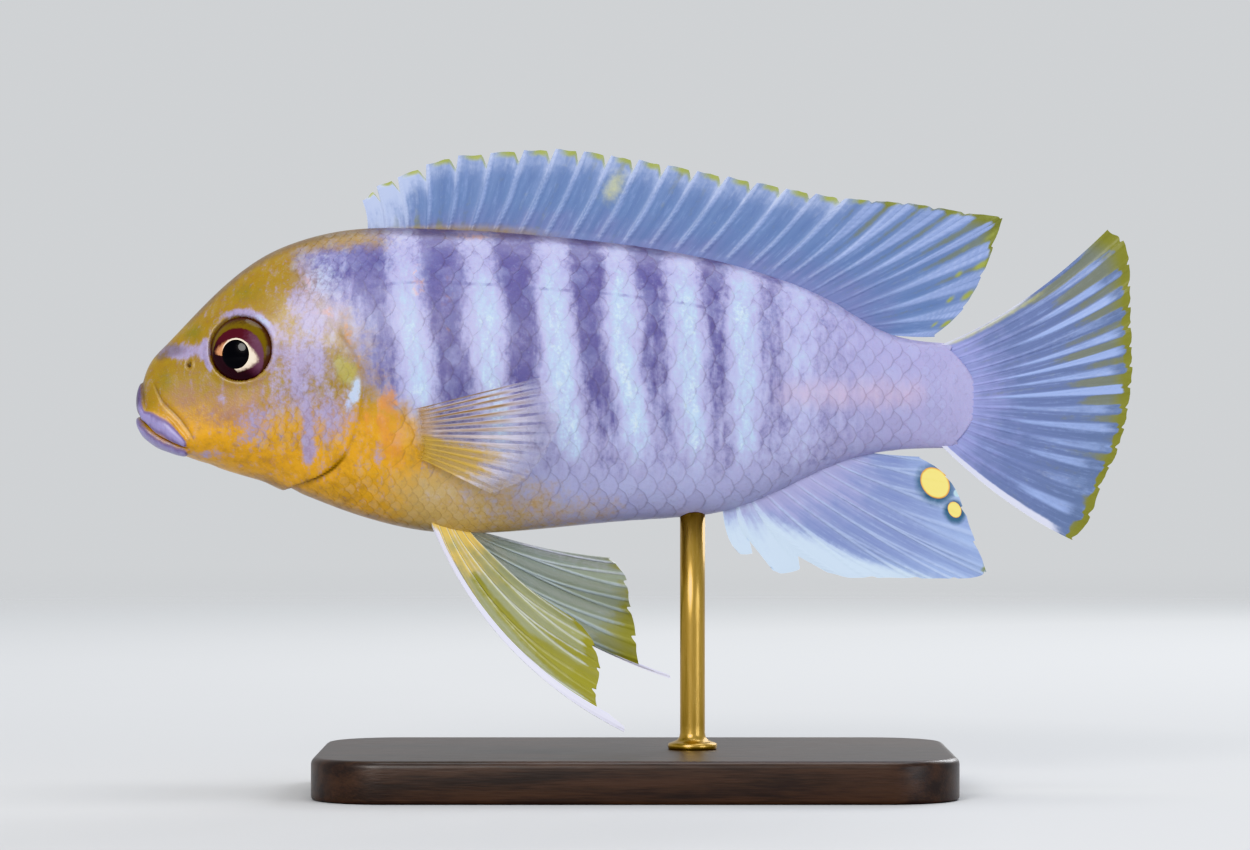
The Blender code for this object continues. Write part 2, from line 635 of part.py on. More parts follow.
def main():
    clear_scene()
    gold = make_material("gold_skin", (0.72, 0.45, 0.06), 0.45)
    lilac = make_material("lilac_skin", (0.5, 0.5, 0.78), 0.42)
    fin = make_material("blue_fin", (0.38, 0.48, 0.78), 0.4)
    clear_fin = make_material("clear_fin", (0.62, 0.62, 0.42), 0.35)
    eye = make_material("eye", (0.25, 0.17, 0.05), 0.12)
    wood = make_material("dark_wood", (0.12, 0.07, 0.04), 0.4)
    brass = make_material("brass", (0.72, 0.58, 0.3), 0.28, 1.0)
    head = build_head(gold)
    build_eyes_and_pits(head, eye, gold)
    build_torso(lilac)
    build_tail(lilac)
    build_dorsal(fin)
    build_anal(fin)
    build_caudal(fin)
    build_pectoral(-1.0, "pectoral_fin_left", clear_fin)
    build_pectoral(1.0, "pectoral_fin_right", clear_fin)
    build_pelvic(-1.0, "pelvic_fin_left", LEFT_PELVIC_TIPS, LEFT_PELVIC_BOW, clear_fin)
    build_pelvic(1.0, "pelvic_fin_right", RIGHT_PELVIC_TIPS, RIGHT_PELVIC_BOW, clear_fin)
    build_base(wood)
    build_rod(brass)


main()
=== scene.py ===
# A male zebra cichlid in full colour, swimming to the left over a small stand.
# Skin, scales, eyes and fins are surfaces worked out here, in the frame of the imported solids.
import math

import bpy
import numpy as np
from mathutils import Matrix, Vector


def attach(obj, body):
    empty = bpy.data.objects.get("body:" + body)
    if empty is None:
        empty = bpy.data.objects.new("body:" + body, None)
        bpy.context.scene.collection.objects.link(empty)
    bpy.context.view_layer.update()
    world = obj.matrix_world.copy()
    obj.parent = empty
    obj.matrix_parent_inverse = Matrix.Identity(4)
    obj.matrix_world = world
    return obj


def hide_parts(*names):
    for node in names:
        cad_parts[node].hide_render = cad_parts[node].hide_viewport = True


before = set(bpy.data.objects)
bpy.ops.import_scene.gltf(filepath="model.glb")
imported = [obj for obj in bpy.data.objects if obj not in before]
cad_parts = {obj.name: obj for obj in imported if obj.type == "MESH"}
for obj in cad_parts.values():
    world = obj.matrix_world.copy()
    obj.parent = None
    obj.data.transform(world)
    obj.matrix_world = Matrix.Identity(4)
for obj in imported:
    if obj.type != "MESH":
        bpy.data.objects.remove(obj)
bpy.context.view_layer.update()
print("frame loaded:", len(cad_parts), "nodes")


# Curves and the body's own surface, all in millimetres: x back from the nose, y across, h up.

body = {
    "noseX": -59.4, "axisHeight": 47.0, "length": 100.5,
    "stations": [  # x, back, belly, widest level, half width
        (0.0, -1.9, -1.9, -1.9, 0.0), (0.54, 2.5, -4.1, -2.4, 2.6), (1.4, 4.5, -4.95, -3.1, 3.4),
        (3.0, 6.3, -5.9, -4.05, 4.25), (5.3, 8.7, -6.8, -4.9, 4.95), (8.3, 11.8, -7.9, -3.9, 5.65),
        (12.0, 15.1, -9.1, -1.3, 6.45), (15.5, 17.4, -10.1, 0.6, 7.1), (19.1, 18.9, -11.3, 1.7, 7.65),
        (24.0, 20.1, -13.2, 2.3, 8.05), (28.7, 20.5, -14.7, 2.5, 8.2), (34.7, 20.4, -15.9, 2.4, 8.25),
        (43.1, 20.0, -16.0, 2.2, 8.1), (50.3, 19.4, -15.4, 2.1, 7.8), (57.5, 18.6, -14.7, 2.0, 7.25),
        (64.7, 17.5, -14.2, 1.9, 6.55), (69.5, 16.5, -13.6, 1.8, 5.95), (76.7, 14.4, -11.0, 1.6, 4.9),
        (83.9, 11.2, -7.7, 1.5, 3.85), (88.7, 8.3, -6.4, 1.0, 3.2), (94.0, 6.9, -5.95, 0.6, 2.3),
        (100.5, 6.6, -5.9, 0.4, 0.55)],
    "roundness": [  # x, fullness of the upper and of the lower half, 2 is an ellipse
        (0.0, 2.0, 2.0), (12.0, 2.15, 1.9), (30.0, 1.9, 2.2), (60.0, 1.85, 2.0), (100.5, 1.9, 1.9)],
    "tailRound": 4.0, "tailHalf": 6.4,  # how far the tail root's end rounds off, and its half height
    "gillEdge": [  # height, x of the cover's rear edge
        (-10.7, 17.3), (-9.7, 20.6), (-8.0, 23.6), (-5.0, 25.7), (-1.0, 26.9), (2.0, 27.3), (5.0, 26.2),
        (9.0, 23.6), (14.0, 21.9), (21.0, 21.2)],
}


def splineThrough(keys, values):
    # natural cubic spline: the bend at each key solves one row of a banded system, ends unbent
    keys, values = np.asarray(keys, float), np.asarray(values, float)
    gap, count = np.diff(keys), len(keys)
    inner = np.arange(1, count - 1)
    system, right = np.eye(count), np.zeros(count)
    system[inner, inner - 1], system[inner, inner + 1] = gap[:-1], gap[1:]
    system[inner, inner] = 2 * (gap[:-1] + gap[1:])
    slope = np.diff(values) / gap
    right[inner] = 6 * np.diff(slope)
    bend = np.linalg.solve(system, right)

    def read(at):
        at = np.clip(at, keys[0], keys[-1])
        i = np.clip(np.searchsorted(keys, at) - 1, 0, count - 2)
        a, b = (keys[i + 1] - at) / gap[i], (at - keys[i]) / gap[i]
        return (a * values[i] + b * values[i + 1]
                + ((a ** 3 - a) * bend[i] + (b ** 3 - b) * bend[i + 1]) * gap[i] ** 2 / 6)
    return read


def steadyThrough(keys, values):
    # cubic through the keys that never overshoots: slopes are the harmonic mean of the two sides,
    # and nought where the sides disagree
    keys, values = np.asarray(keys, float), np.asarray(values, float)
    gap = np.diff(keys)
    slope = np.diff(values) / gap
    before, after = slope[:-1], slope[1:]
    product = before * after
    inner = np.where(product > 0, 2 * product / np.where(product > 0, before + after, 1), 0)
    tangent = np.concatenate([slope[:1], inner, slope[-1:]])

    def read(at):
        at = np.clip(at, keys[0], keys[-1])
        i = np.clip(np.searchsorted(keys, at) - 1, 0, len(keys) - 2)
        t, g = (at - keys[i]) / gap[i], gap[i]
        return ((1 + 2 * t) * (1 - t) ** 2 * values[i] + t * (1 - t) ** 2 * g * tangent[i]
                + t * t * (3 - 2 * t) * values[i + 1] + t * t * (t - 1) * g * tangent[i + 1])
    return read


def ramp(low, high, value):
    # 0 below low, 1 above high, smooth between
    t = np.clip((value - low) / (high - low), 0, 1)
    return t * t * (3 - 2 * t)


def bell(value, width):
    return np.exp(-(value / width) ** 2)


stations = np.array(body["stations"])
roundness = np.array(body["roundness"])
gillEdge = np.array(body["gillEdge"])
stationReach = np.sqrt(stations[:, 0] / body["length"])
rowCurves = [splineThrough(stationReach, stations[:, column]) for column in (1, 2, 3, 4)]
upperFullness = splineThrough(roundness[:, 0], roundness[:, 1])
lowerFullness = splineThrough(roundness[:, 0], roundness[:, 2])
gillEdgeAt = splineThrough(gillEdge[:, 0], gillEdge[:, 1])


def bodyRow(x):
    # back, belly, widest level and half width, splined over the root of x so that the nose is round
    u = np.sqrt(np.clip(x, 0, body["length"]) / body["length"])
    return [curve(u) for curve in rowCurves]


def plainSkin(x, turn, side):
    # two half superellipses about the widest level: turn runs from 0 at the back to pi at the belly
    back, belly, level, width = bodyRow(x)
    upper = turn < math.pi / 2
    power = 2 / np.where(upper, upperFullness(x), lowerFullness(x))
    reach = np.where(upper, back - level, level - belly)
    h = level + reach * np.sign(np.cos(turn)) * np.abs(np.cos(turn)) ** power
    y = side * width * np.abs(np.sin(turn)) ** power
    return np.stack(np.broadcast_arrays(x + 0 * turn, y, h), axis=-1)


def skinNormal(x, turn, side):
    # cross product of two short chords of the plain skin, outwards on either side
    small = 1e-3
    chord = plainSkin(x + small, turn, side) - plainSkin(np.maximum(x - small, 0), turn, side)
    over = plainSkin(x, np.maximum(turn - small, 1e-5), side)
    under = plainSkin(x, np.minimum(turn + small, math.pi - 1e-5), side)
    normal = np.asarray(side)[..., None] * np.cross(over - under, chord)
    size = np.linalg.norm(normal, axis=-1, keepdims=True)
    return np.where(size > 1e-12, normal / np.maximum(size, 1e-12), [-1.0, 0.0, 0.0])


def turnAtHeight(x, h):
    back, belly, level, _ = bodyRow(x)
    up = h > level
    full = np.where(up, upperFullness(x), lowerFullness(x))
    share = np.clip(np.where(up, (h - level) / (back - level), (level - h) / (level - belly)), 0, 1)
    angle = np.arccos(share ** (full / 2))
    return np.where(up, angle, math.pi - angle)


millimetre = 0.001  # in metres
crispAngle = 0.9  # radians: a crisp piece keeps the corners that turn by more
bothSides = ((-1.0, "Left"), (1.0, "Right"))


def toScene(points):
    return (np.asarray(points, float) + (body["noseX"], 0.0, body["axisHeight"])) * millimetre


def addToScene(name, content):
    holder = bpy.data.objects.new(name, content)
    bpy.context.scene.collection.objects.link(holder)
    return holder


def newPiece(name, points, faces, material, fields=None, uv=None, uvName="Rays", crisp=False):
    # a mesh in scene metres; faces are blocks of index rows, turned outwards by the sign of their volume,
    # the sum of a . (b x c) over all triangles
    points = toScene(points)
    centred = points - points.mean(axis=0)
    volume = 0.0
    for block in faces:
        for k in range(1, block.shape[1] - 1):
            a, b, c = centred[block[:, 0]], centred[block[:, k]], centred[block[:, k + 1]]
            volume += np.einsum("ij,ij->", a, np.cross(b, c))
    if volume < 0:
        faces = [block[:, ::-1] for block in faces]
    mesh = bpy.data.meshes.new(name)
    mesh.from_pydata(points.tolist(), [], [row for block in faces for row in block.tolist()])
    for layer, values in (fields or {}).items():
        mesh.attributes.new(layer, "FLOAT", "POINT").data.foreach_set("value", values.astype(np.float32))
    if uv is not None:
        corners = np.empty(len(mesh.loops), np.int32)
        mesh.loops.foreach_get("vertex_index", corners)
        mesh.uv_layers.new(name=uvName).data.foreach_set("uv", uv[corners].astype(np.float32).ravel())
    mesh.materials.append(material)
    mesh.shade_smooth()
    if crisp:
        mesh.set_sharp_from_angle(angle=crispAngle)
    piece = addToScene(name, mesh)
    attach(piece, "root")
    return piece


def gridRing(rows, columns):
    # the border of such a grid, once round
    return np.concatenate([np.arange(columns), np.arange(1, rows) * columns + columns - 1,
                           (rows - 1) * columns + np.arange(columns - 2, -1, -1),
                           np.arange(rows - 2, 0, -1) * columns])


def gridQuads(rows, columns, wrap=False, first=0):
    # quads between neighbouring points of a grid stored row by row, joined round its columns if asked
    i, k = np.meshgrid(np.arange(rows - 1), np.arange(columns if wrap else columns - 1), indexing="ij")
    after = (k + 1) % columns
    a, b = first + i * columns + k, first + i * columns + after
    return np.stack([a, b, b + columns, a + columns], axis=-1).reshape(-1, 4)


# Shader maths: a wrapped socket that adds its own nodes.

class Wire:
    def __init__(self, paint, socket):
        self.paint, self.socket = paint, socket

    def maths(self, operation, *values):
        return self.paint.add("ShaderNodeMath", {"operation": operation}, dict(enumerate(values)))

    def __add__(self, other):
        return self.maths("ADD", self, other)

    def __sub__(self, other):
        return self.maths("SUBTRACT", self, other)

    def __rsub__(self, other):
        return self.maths("SUBTRACT", other, self)

    def __mul__(self, other):
        return self.maths("MULTIPLY", self, other)

    def __truediv__(self, other):
        return self.maths("DIVIDE", self, other)

    def __rtruediv__(self, other):
        return self.maths("DIVIDE", other, self)

    __radd__, __rmul__ = __add__, __mul__

    def size(self):
        return self.maths("ABSOLUTE", self)

    def nearest(self):
        return self.maths("ROUND", self)

    def most(self, other):
        return self.maths("MAXIMUM", self, other)

    def wave(self):
        return self.maths("SINE", self)

    def step(self, low, high):  # 0 to 1 between low and high, or 1 to 0 where high is the smaller
        return self.paint.add("ShaderNodeMapRange", {"interpolation_type": "SMOOTHSTEP"},
                              {0: self, 1: min(low, high), 2: max(low, high),
                               3: float(low > high), 4: float(low < high)})


class Paint:
    def __init__(self, name, **constants):
        self.material = bpy.data.materials.new(name)
        self.material.use_nodes = True
        self.tree = self.material.node_tree
        self.shader = self.tree.nodes["Principled BSDF"]
        self.fields = {}
        for socket, value in constants.items():
            self.plug(self.shader.inputs[socket.replace("_", " ")], value)

    def plug(self, socket, value):
        if isinstance(value, Wire):
            self.tree.links.new(value.socket, socket)
        else:
            socket.default_value = value

    def add(self, kind, settings=None, sockets=None, output=0):
        node = self.tree.nodes.new(kind)
        for key, value in (settings or {}).items():
            setattr(node, key, value)
        for key, value in (sockets or {}).items():
            self.plug(node.inputs[key], value)
        return Wire(self, node.outputs[output])

    def coords(self):  # Object coordinates in millimetres
        spot = self.add("ShaderNodeTexCoord", output="Object")
        return self.add("ShaderNodeVectorMath", {"operation": "SCALE"}, {0: spot, "Scale": 1 / millimetre})

    def part(self, vector, axis):
        return self.add("ShaderNodeSeparateXYZ", {}, {0: vector}, axis)

    def stretch(self, vector, factors):
        return self.add("ShaderNodeVectorMath", {"operation": "MULTIPLY"}, {0: vector, 1: factors})

    def noise(self, vector, scale, detail=3.0, rough=0.55):  # centred on nought
        return self.add("ShaderNodeTexNoise", {}, {"Vector": vector, "Scale": scale, "Detail": detail,
                                                   "Roughness": rough}, "Fac") - 0.5

    def field(self, name):  # one node for each field that the piece carries
        if name not in self.fields:
            self.fields[name] = self.add("ShaderNodeAttribute", {"attribute_name": name}, {}, "Fac")
        return self.fields[name]

    def mix(self, mask, first, second):
        settings = {"data_type": "RGBA", "clamp_factor": True}
        return self.add("ShaderNodeMix", settings, {0: mask, 6: first, 7: second}, 2)

    def bump(self, height, strength, distance=0.0002):
        return self.add("ShaderNodeBump", {}, {"Strength": strength, "Distance": distance,
                                               "Height": height})

    def finish(self, colour=None, rough=None, normal=None, alpha=None):
        for socket, value in (("Base Color", colour), ("Roughness", rough), ("Normal", normal),
                              ("Alpha", alpha)):
            if value is not None:
                self.plug(self.shader.inputs[socket], value)
        return self.material


def tint(red, green, blue):
    # display colour out of 255 to the linear colour that a shader takes
    return tuple((c / 255 / 12.92 if c < 11 else ((c / 255 + 0.055) / 1.055) ** 2.4)
                 for c in (red, green, blue)) + (1.0,)


# Markings: fields over the side of the fish, the same on skin and scales.

marks = {
    "goldEdge": [  # height, x where the gold of head and breast ends
        (-16.0, 49.5), (-14.5, 48.0), (-12.1, 46.0), (-9.7, 42.5), (-7.3, 38.5), (-4.9, 35.6), (-2.5, 33.8),
        (-0.1, 30.6), (2.3, 27.4), (4.7, 27.0), (7.4, 26.0), (9.5, 24.4), (11.6, 22.8), (14.5, 20.6),
        (16.5, 19.8), (21.0, 20.4)],
    "crestEnd": 28.2, "crestDepth": 1.7,
    "bars": [  # x at h = 12, strength: light above nought, dark below
        (20.0, 0.12), (24.6, 0.2), (28.9, -0.55), (32.4, 0.8), (36.6, -1.0), (41.5, 0.85), (45.6, -1.0),
        (49.8, 1.0), (54.0, -1.0), (57.4, 1.0), (61.3, -0.62), (65.6, 1.0), (68.8, -0.58), (72.1, 0.9),
        (75.4, -0.3), (78.8, 0.3), (82.0, -0.05), (101.0, 0.0)],
    "lean": [(30.0, 0.14), (75.0, 0.02)],  # how far a bar moves back for each mm down
    "patches": {  # soft ellipses: x, h, half length, half height, strength
        "lilac": [
            (5.3, 5.6, 3.0, 0.9, 1.3), (20.5, 4.4, 5.4, 6.4, 0.56), (22.4, 13.4, 2.6, 3.4, 0.55),
            (23.6, -3.8, 2.2, 3.0, 0.5), (14.5, -3.0, 4.0, 3.0, 0.2), (17.0, 6.0, 1.6, 2.9, 0.4),
            (19.4, 1.9, 1.1, 3.8, 0.5), (29.0, -6.8, 0.7, 2.6, 0.5), (17.2, 0.2, 1.3, 1.9, 0.35),
            (21.6, 4.7, 2.2, 2.6, 0.35), (23.2, -1.4, 1.8, 2.4, 0.4), (25.6, -1.0, 0.8, 1.6, 0.6),
            (20.6, -3.9, 0.6, 3.4, 1.1), (20.7, -6.4, 0.8, 1.2, 1.0), (14.4, -2.6, 1.6, 1.8, 0.6),
            (13.7, -4.8, 1.5, 0.8, 0.45), (10.3, 0.0, 1.2, 0.7, 0.45), (19.4, 11.9, 1.5, 1.8, 0.6),
            (21.4, 8.9, 1.9, 1.7, 0.6), (8.6, -6.7, 2.4, 0.5, 0.75), (19.5, 15.8, 1.4, 1.2, 0.4)],
        "pale": [
            (22.3, 14.4, 2.2, 3.0, 0.5), (26.5, 1.7, 0.5, 1.1, 0.95), (26.1, 0.3, 0.75, 0.9, 1.1),
            (25.4, -1.2, 0.7, 1.0, 0.6), (25.2, 5.6, 1.1, 0.6, 0.4), (20.8, 7.9, 0.7, 0.6, 0.5)],
        "orange": [
            (30.2, 0.4, 1.1, 2.4, 1.1), (29.6, -3.4, 1.3, 3.2, 0.9), (31.2, -6.6, 1.5, 3.0, 0.8),
            (27.6, -2.4, 0.5, 2.6, 0.7), (32.6, -3.6, 1.0, 2.2, 0.5), (25.3, 8.0, 0.9, 2.4, 0.75),
            (26.7, 4.6, 0.5, 1.6, 0.6), (22.8, 10.3, 1.6, 1.0, 0.7), (20.4, 13.4, 0.9, 1.6, 0.6),
            (18.6, 9.6, 1.4, 1.0, 0.4), (33.7, 13.5, 0.9, 3.5, 0.8), (37.2, 12.0, 0.7, 5.5, 0.8),
            (40.5, 19.4, 6.5, 0.8, 0.7), (16.5, -7.5, 6.0, 1.9, 0.45), (21.2, -1.5, 0.4, 2.6, 0.6),
            (9.0, -3.6, 3.4, 1.6, 0.3)],
        "ear": [(25.3, 3.0, 1.35, 1.5, 1.2), (24.2, 4.6, 1.0, 0.9, 0.6)],
        "mauve": [
            (5.6, 0.6, 2.6, 2.4, 0.5), (11.6, -0.9, 4.6, 3.2, 0.8), (16.8, -5.6, 3.4, 2.0, 0.3),
            (15.2, 3.0, 1.8, 2.6, 0.35), (12.5, 10.6, 4.0, 1.0, 0.3)],
        "olive": [
            (6.6, 8.0, 1.9, 1.6, 0.7), (13.0, 12.6, 3.4, 1.8, 0.55), (3.4, 2.2, 1.4, 2.2, 0.6),
            (12.0, 9.9, 3.0, 0.8, 0.4)],
        # painted shade in spots: the front of the upper lip, the snout, beside the mouth and along the dorsal
        # fin's foot
        "paintedShadeAndFleck": [
            (0.1, 0.8, 0.8, 2.3, 1.5), (2.5, 4.9, 1.0, 0.6, 0.55), (38.5, 20.0, 7.0, 0.9, 0.7),
            (3.6, -1.0, 1.5, 0.5, 0.2), (3.8, 5.8, 2.2, 0.9, 1.3), (1.5, -3.0, 0.7, 0.5, 0.5)],
    },
    "lateral": [  # x, height of the upper lateral line
        (23.5, 11.6), (28.0, 13.4), (34.0, 13.9), (42.0, 13.5), (56.0, 12.5), (66.0, 11.2), (73.0, 9.6)],
    "lateralPitch": 2.3, "lateralFront": (25.0, 30.0), "lateralRear": (75.0, 68.0),
}
eyeShape = {"x": 12.5, "h": 5.93, "radius": 4.2, "thickness": 2.6, "sunk": 1.35, "opening": 3.74}
goldEdgeAt = steadyThrough(*np.array(marks["goldEdge"]).T)
barAt = steadyThrough(*np.array(marks["bars"]).T)


def patches(kind, x, h):
    # sum of soft ellipses, each exp(-(dx/a)^2 - (dh/b)^2) times its strength
    px, ph, a, b, strength = np.array(marks["patches"][kind]).T[..., None]
    spread = ((x.reshape(1, -1) - px) / a) ** 2 + ((h.reshape(1, -1) - ph) / b) ** 2
    return (strength * np.exp(-spread)).sum(axis=0).reshape(x.shape)


def markings(x, h):
    # edges are signed distances, patches are sums of bells; the shader adds noise before it cuts them
    x, h = np.broadcast_arrays(x, h)
    back, belly = bodyRow(x)[:2]
    under = back - h
    gold = (goldEdgeAt(h) - x) * (0.25 + 0.75 * ramp(-12.0, -4.0, h))
    crest = np.minimum(marks["crestEnd"] - x, (marks["crestDepth"] - under) * 2.0)
    # the bars lean, sway with a low sine and bend back under the flank; they fade towards the belly
    lean = np.interp(x, *np.array(marks["lean"]).T)
    sway = 0.22 * np.sin(0.5 * h + 0.35 * x) + 1.2 * bell(x - 58.0, 8.0) * ramp(5.0, -6.0, h)
    value = barAt(x - lean * (12.0 - h) - sway)
    # painted shade: the light bars dim towards the back, and the nape and the top of the flank are darkened,
    # where the back turns up from the light
    light = ramp(-10.5, -3.5, h) * (0.45 + 0.55 * ramp(19.0, 13.0, h))
    nape = bell(x - 24.0, 4.0) * bell(h - 13.0, 5.5)
    bars = value * np.where(value > 0, light, ramp(-8.0, 6.0, h)) - 0.3 * nape
    bars -= 0.34 * ramp(9.0, 17.0, h) * ramp(80.0, 70.0, x)
    # a broken ring round the eye, above and ahead of it, with a painted highlight at its upper rear
    around = np.arctan2(h - eyeShape["h"], x - eyeShape["x"])
    away = np.hypot(x - eyeShape["x"], h - eyeShape["h"])
    above = ramp(0.3, 0.75, around) * ramp(2.5, 1.7, around)
    ring = bell(away - 4.34, 0.42) * (above + ramp(2.7, 3.05, around) + ramp(-2.3, -2.7, around))
    fields = {kind: patches(kind, x, h) for kind in marks["patches"]}
    fields["lilac"] += 1.3 * ring
    # painted highlight on the ring's upper rear
    fields["pale"] += 0.7 * ring * bell(around - 0.85, 0.45)
    # painted shade lies along the back, in the eye's socket and along the breast's lower edge
    fields["paintedShadeAndFleck"] += (bell(under, 1.1) * ramp(3.0, 8.0, x) * (0.5 + 0.5 * ramp(78.0, 60.0, x))
                       + bell(away - 3.86, 0.2) * (0.8 + 0.3 * above)
                       + 0.8 * bell(h - belly, 1.2) * ramp(10.0, 16.0, x) * ramp(40.0, 34.0, x))
    return {
        **fields, "bars": bars,
        "gold": np.clip(np.maximum(gold, crest), -12, 12),
        "warm": ramp(4.0, -6.5, h) * ramp(-2.0, 4.0, x),
        "low": ramp(-4.0, -12.0, h) * ramp(24.0, 38.0, x),
        "tail": ramp(74.0, 92.0, x),
        "rosy": bell(h - 0.6, 2.6) * ramp(70.0, 80.0, x) * ramp(97.0, 92.0, x),
        "line": np.clip(h - np.interp(x, *np.array(marks["lateral"]).T), -3, 3),
    }


skinShape = {
    "columns": 240, "crowding": 0.275,
    # rings of points: how many on the snout, from and to which x, then first x, last x and spacing
    "snoutRings": (76, 0.0036, 7.0), "rings": [(7.13, 17.5, 0.13), (17.6, 28.6, 0.15), (29.0, 100.0, 0.5)],
    "tailRings": (100.25, 100.5),
    "mouth": [  # x, height of the mouth's line, thickness of the upper lip and of the lower lip
        (0.0, -1.9, 4.4, 1.4), (0.35, -2.3, 4.3, 1.5), (0.7, -2.8, 2.1, 1.6), (1.0, -3.05, 1.65, 1.7),
        (1.6, -3.6, 2.1, 1.6), (2.4, -4.3, 2.5, 1.4), (3.7, -5.0, 2.55, 1.1), (4.7, -5.45, 2.0, 0.95),
        (5.6, -5.75, 1.2, 0.8), (6.4, -5.95, 0.4, 0.6)],
    "lipHeight": 0.5, "cleftDepth": 0.95, "cleftWidth": 0.19,
    "fold": [(1.6, 2.4), (3.0, -0.3), (5.1, -2.3), (6.4, -4.0), (7.3, -5.6)], "foldDepth": 0.16,
    "socketDepth": 1.75, "rimHeight": 0.1, "rimRadius": 4.14,
    "nostril": (6.2, 4.1, 0.27), "nostrilDepth": 0.7, "nostrilRim": 0.1,
    "coverLift": 0.34, "coverGroove": 0.24,
    "cheek": (14.0, -2.6, 4.0, 2.8, 0.3),  # x, h, half length, half height, how far it stands out
    "flap": (17.6, 1.0, -0.05), "jawDepth": -0.1, "brow": (5.0, 0.14),
    "colours": {
        "gold": tint(214, 156, 34), "highGold": tint(150, 120, 26), "ochre": tint(138, 98, 22),
        "olive": tint(128, 114, 24), "amber": tint(216, 142, 56), "lilac": tint(166, 156, 198),
        "lilacShade": tint(142, 128, 168), "mauve": tint(152, 112, 96), "ear": tint(164, 152, 66),
        # painted highlight: the first colour on the next line makes painted glints on the light bars
        "paintedGlint": tint(228, 240, 248), "pale": tint(190, 210, 240), "lightBar": tint(190, 214, 240),
        "darkBar": tint(88, 82, 140), "flank": tint(174, 172, 212), "belly": tint(170, 170, 210),
        "breast": tint(196, 164, 104), "tailPink": tint(162, 158, 200), "rosy": tint(190, 170, 198),
        # painted shade: on the next line the first colour darkens the shaded places of the skin and the
        # scales' free edges and also makes random dark flecks; the last colour shades the skin's creases
        "paintedShadeAndFleck": tint(84, 68, 72), "rust": tint(158, 112, 92), "creaseShade": tint(96, 66, 22),
        # the lips' colour, then a painted highlight for their crests, then painted shade for their front
        "lip": tint(112, 98, 142), "lipHighlight": tint(154, 146, 194), "lipShade": tint(74, 56, 92),
        # painted shade: the three colours on the next line darken the mouth's cleft, the eye socket's inner
        # wall and the nostril's pit
        "cleft": tint(82, 48, 30), "socket": tint(40, 26, 12), "nostril": tint(70, 48, 40),
    },
    # layers of paint: field, weights of the grain, fine, streak and patch noises added to it,
    # where its mask starts and where it is full, strength, colour
    "flankPaint": [("low", (0.5, 0, 0, 0), 0.2, 1.0, 1.0, "belly"),
                   ("tail", (0.4, 0, 0, 0), 0.2, 1.1, 1.0, "tailPink"),
                   ("rosy", (0, 0, 0.8, 0), 0.3, 1.5, 1.0, "rosy")],
    "goldPaint": [("warm", (0.5, 0, 0, 0), 0.1, 0.85, 1.0, "gold"),
                  (None, (0.9, 0, 0, 1.0), -0.2, 0.4, 0.5, "ochre"),
                  (None, (0, 0.8, 1.0, -0.5), 0.02, 0.5, 0.42, "lilac"),
                  ("low", (0.5, 0, 0, 0), 0.1, 0.9, 1.0, "breast"),
                  ("olive", (0.7, 0, 0, 0), 0.25, 0.85, 1.0, "olive"),
                  ("mauve", (1.1, 0.6, 0, 0.8), 0.1, 0.95, 0.8, "mauve"),
                  ("lilac", (1.0, 0.8, 1.0, 0), 0.15, 1.0, 0.88, "veil")],
    "goldOver": [("gold", (6.0, 2.5, 3.0, 5.0), -3.4, 2.8, 1.0, "goldPaint"),
                 ("orange", (1.3, 0, 0.6, 0), 0.4, 1.1, 0.8, "amberPaint"),
                 ("ear", (0.8, 0.5, 0, 0), 0.25, 0.95, 0.9, "ear"),
                 ("pale", (0.9, 0.6, 0, 0), 0.2, 1.0, 0.85, "pale"),
                 # painted shade over the head and flank
                 ("paintedShadeAndFleck", (0.4, 0, 0, 0), 0.2, 1.1, 0.6, "paintedShadeAndFleck")],
    "dust": [(None, (0.6, 1.0, 0, 0), 0.0, 0.4, 0.2, "paintedShadeAndFleck"),
             (None, (0, -1.0, 0.5, 0), 0.05, 0.45, 0.16, "lightBar")],
    "facePaint": [("lips", (0.4, 0, 0, 0), 0.3, 0.8, 1.0, "lip"),
                  # painted highlight along each lip's crest
                  ("lips", (0, 0, 0.5, 0), 0.75, 1.0, 0.75, "lipHighlight"),
                  # painted shade in the fold above the upper lip
                  ("fold", (0, 0, 0, 0), 0.2, 1.0, 0.45, "creaseShade"),
                  # painted shade in the mouth's cleft
                  ("cleft", (0, 0, 0, 0), 0.3, 0.8, 1.0, "cleft"),
                  # painted shade in the crease behind the gill cover's lower edge
                  ("creaseShade", (0, 0, 0, 0), 0.15, 0.9, 0.75, "creaseShade"),
                  # painted shade on the eye socket's inner wall and in the nostril's pit
                  ("socket", (0, 0, 0, 0), 0.2, 0.6, 1.0, "socket"),
                  ("nostril", (0, 0, 0, 0), 0.2, 0.9, 0.8, "nostril")],
}


mouthKeys = np.array(skinShape["mouth"])
mouthLineAt, upperLipAt, lowerLipAt = (steadyThrough(mouthKeys[:, 0], mouthKeys[:, c]) for c in (1, 2, 3))


def mouthRelief(x, h):
    # two pillows, sqrt(1 - t^2) across each lip, with a narrow bell-shaped cleft between them
    off = h - mouthLineAt(x)
    beside = 1 - ramp(5.7, 6.5, x)
    upper, lower = upperLipAt(x) / 2, lowerLipAt(x) / 2
    up = np.sqrt(np.clip(1 - ((off - 0.1 - upper) / upper) ** 2, 0, 1))
    low = np.sqrt(np.clip(1 - ((off + 0.15 + lower) / lower) ** 2, 0, 1))
    cleft = bell(off + 0.03, skinShape["cleftWidth"]) * (1 - ramp(5.2, 6.3, x))
    height = skinShape["lipHeight"] * (up * (1 + 0.35 * bell(x - 3.4, 1.6)) + low) * beside
    return height - skinShape["cleftDepth"] * cleft, np.maximum(up, low) * beside, cleft


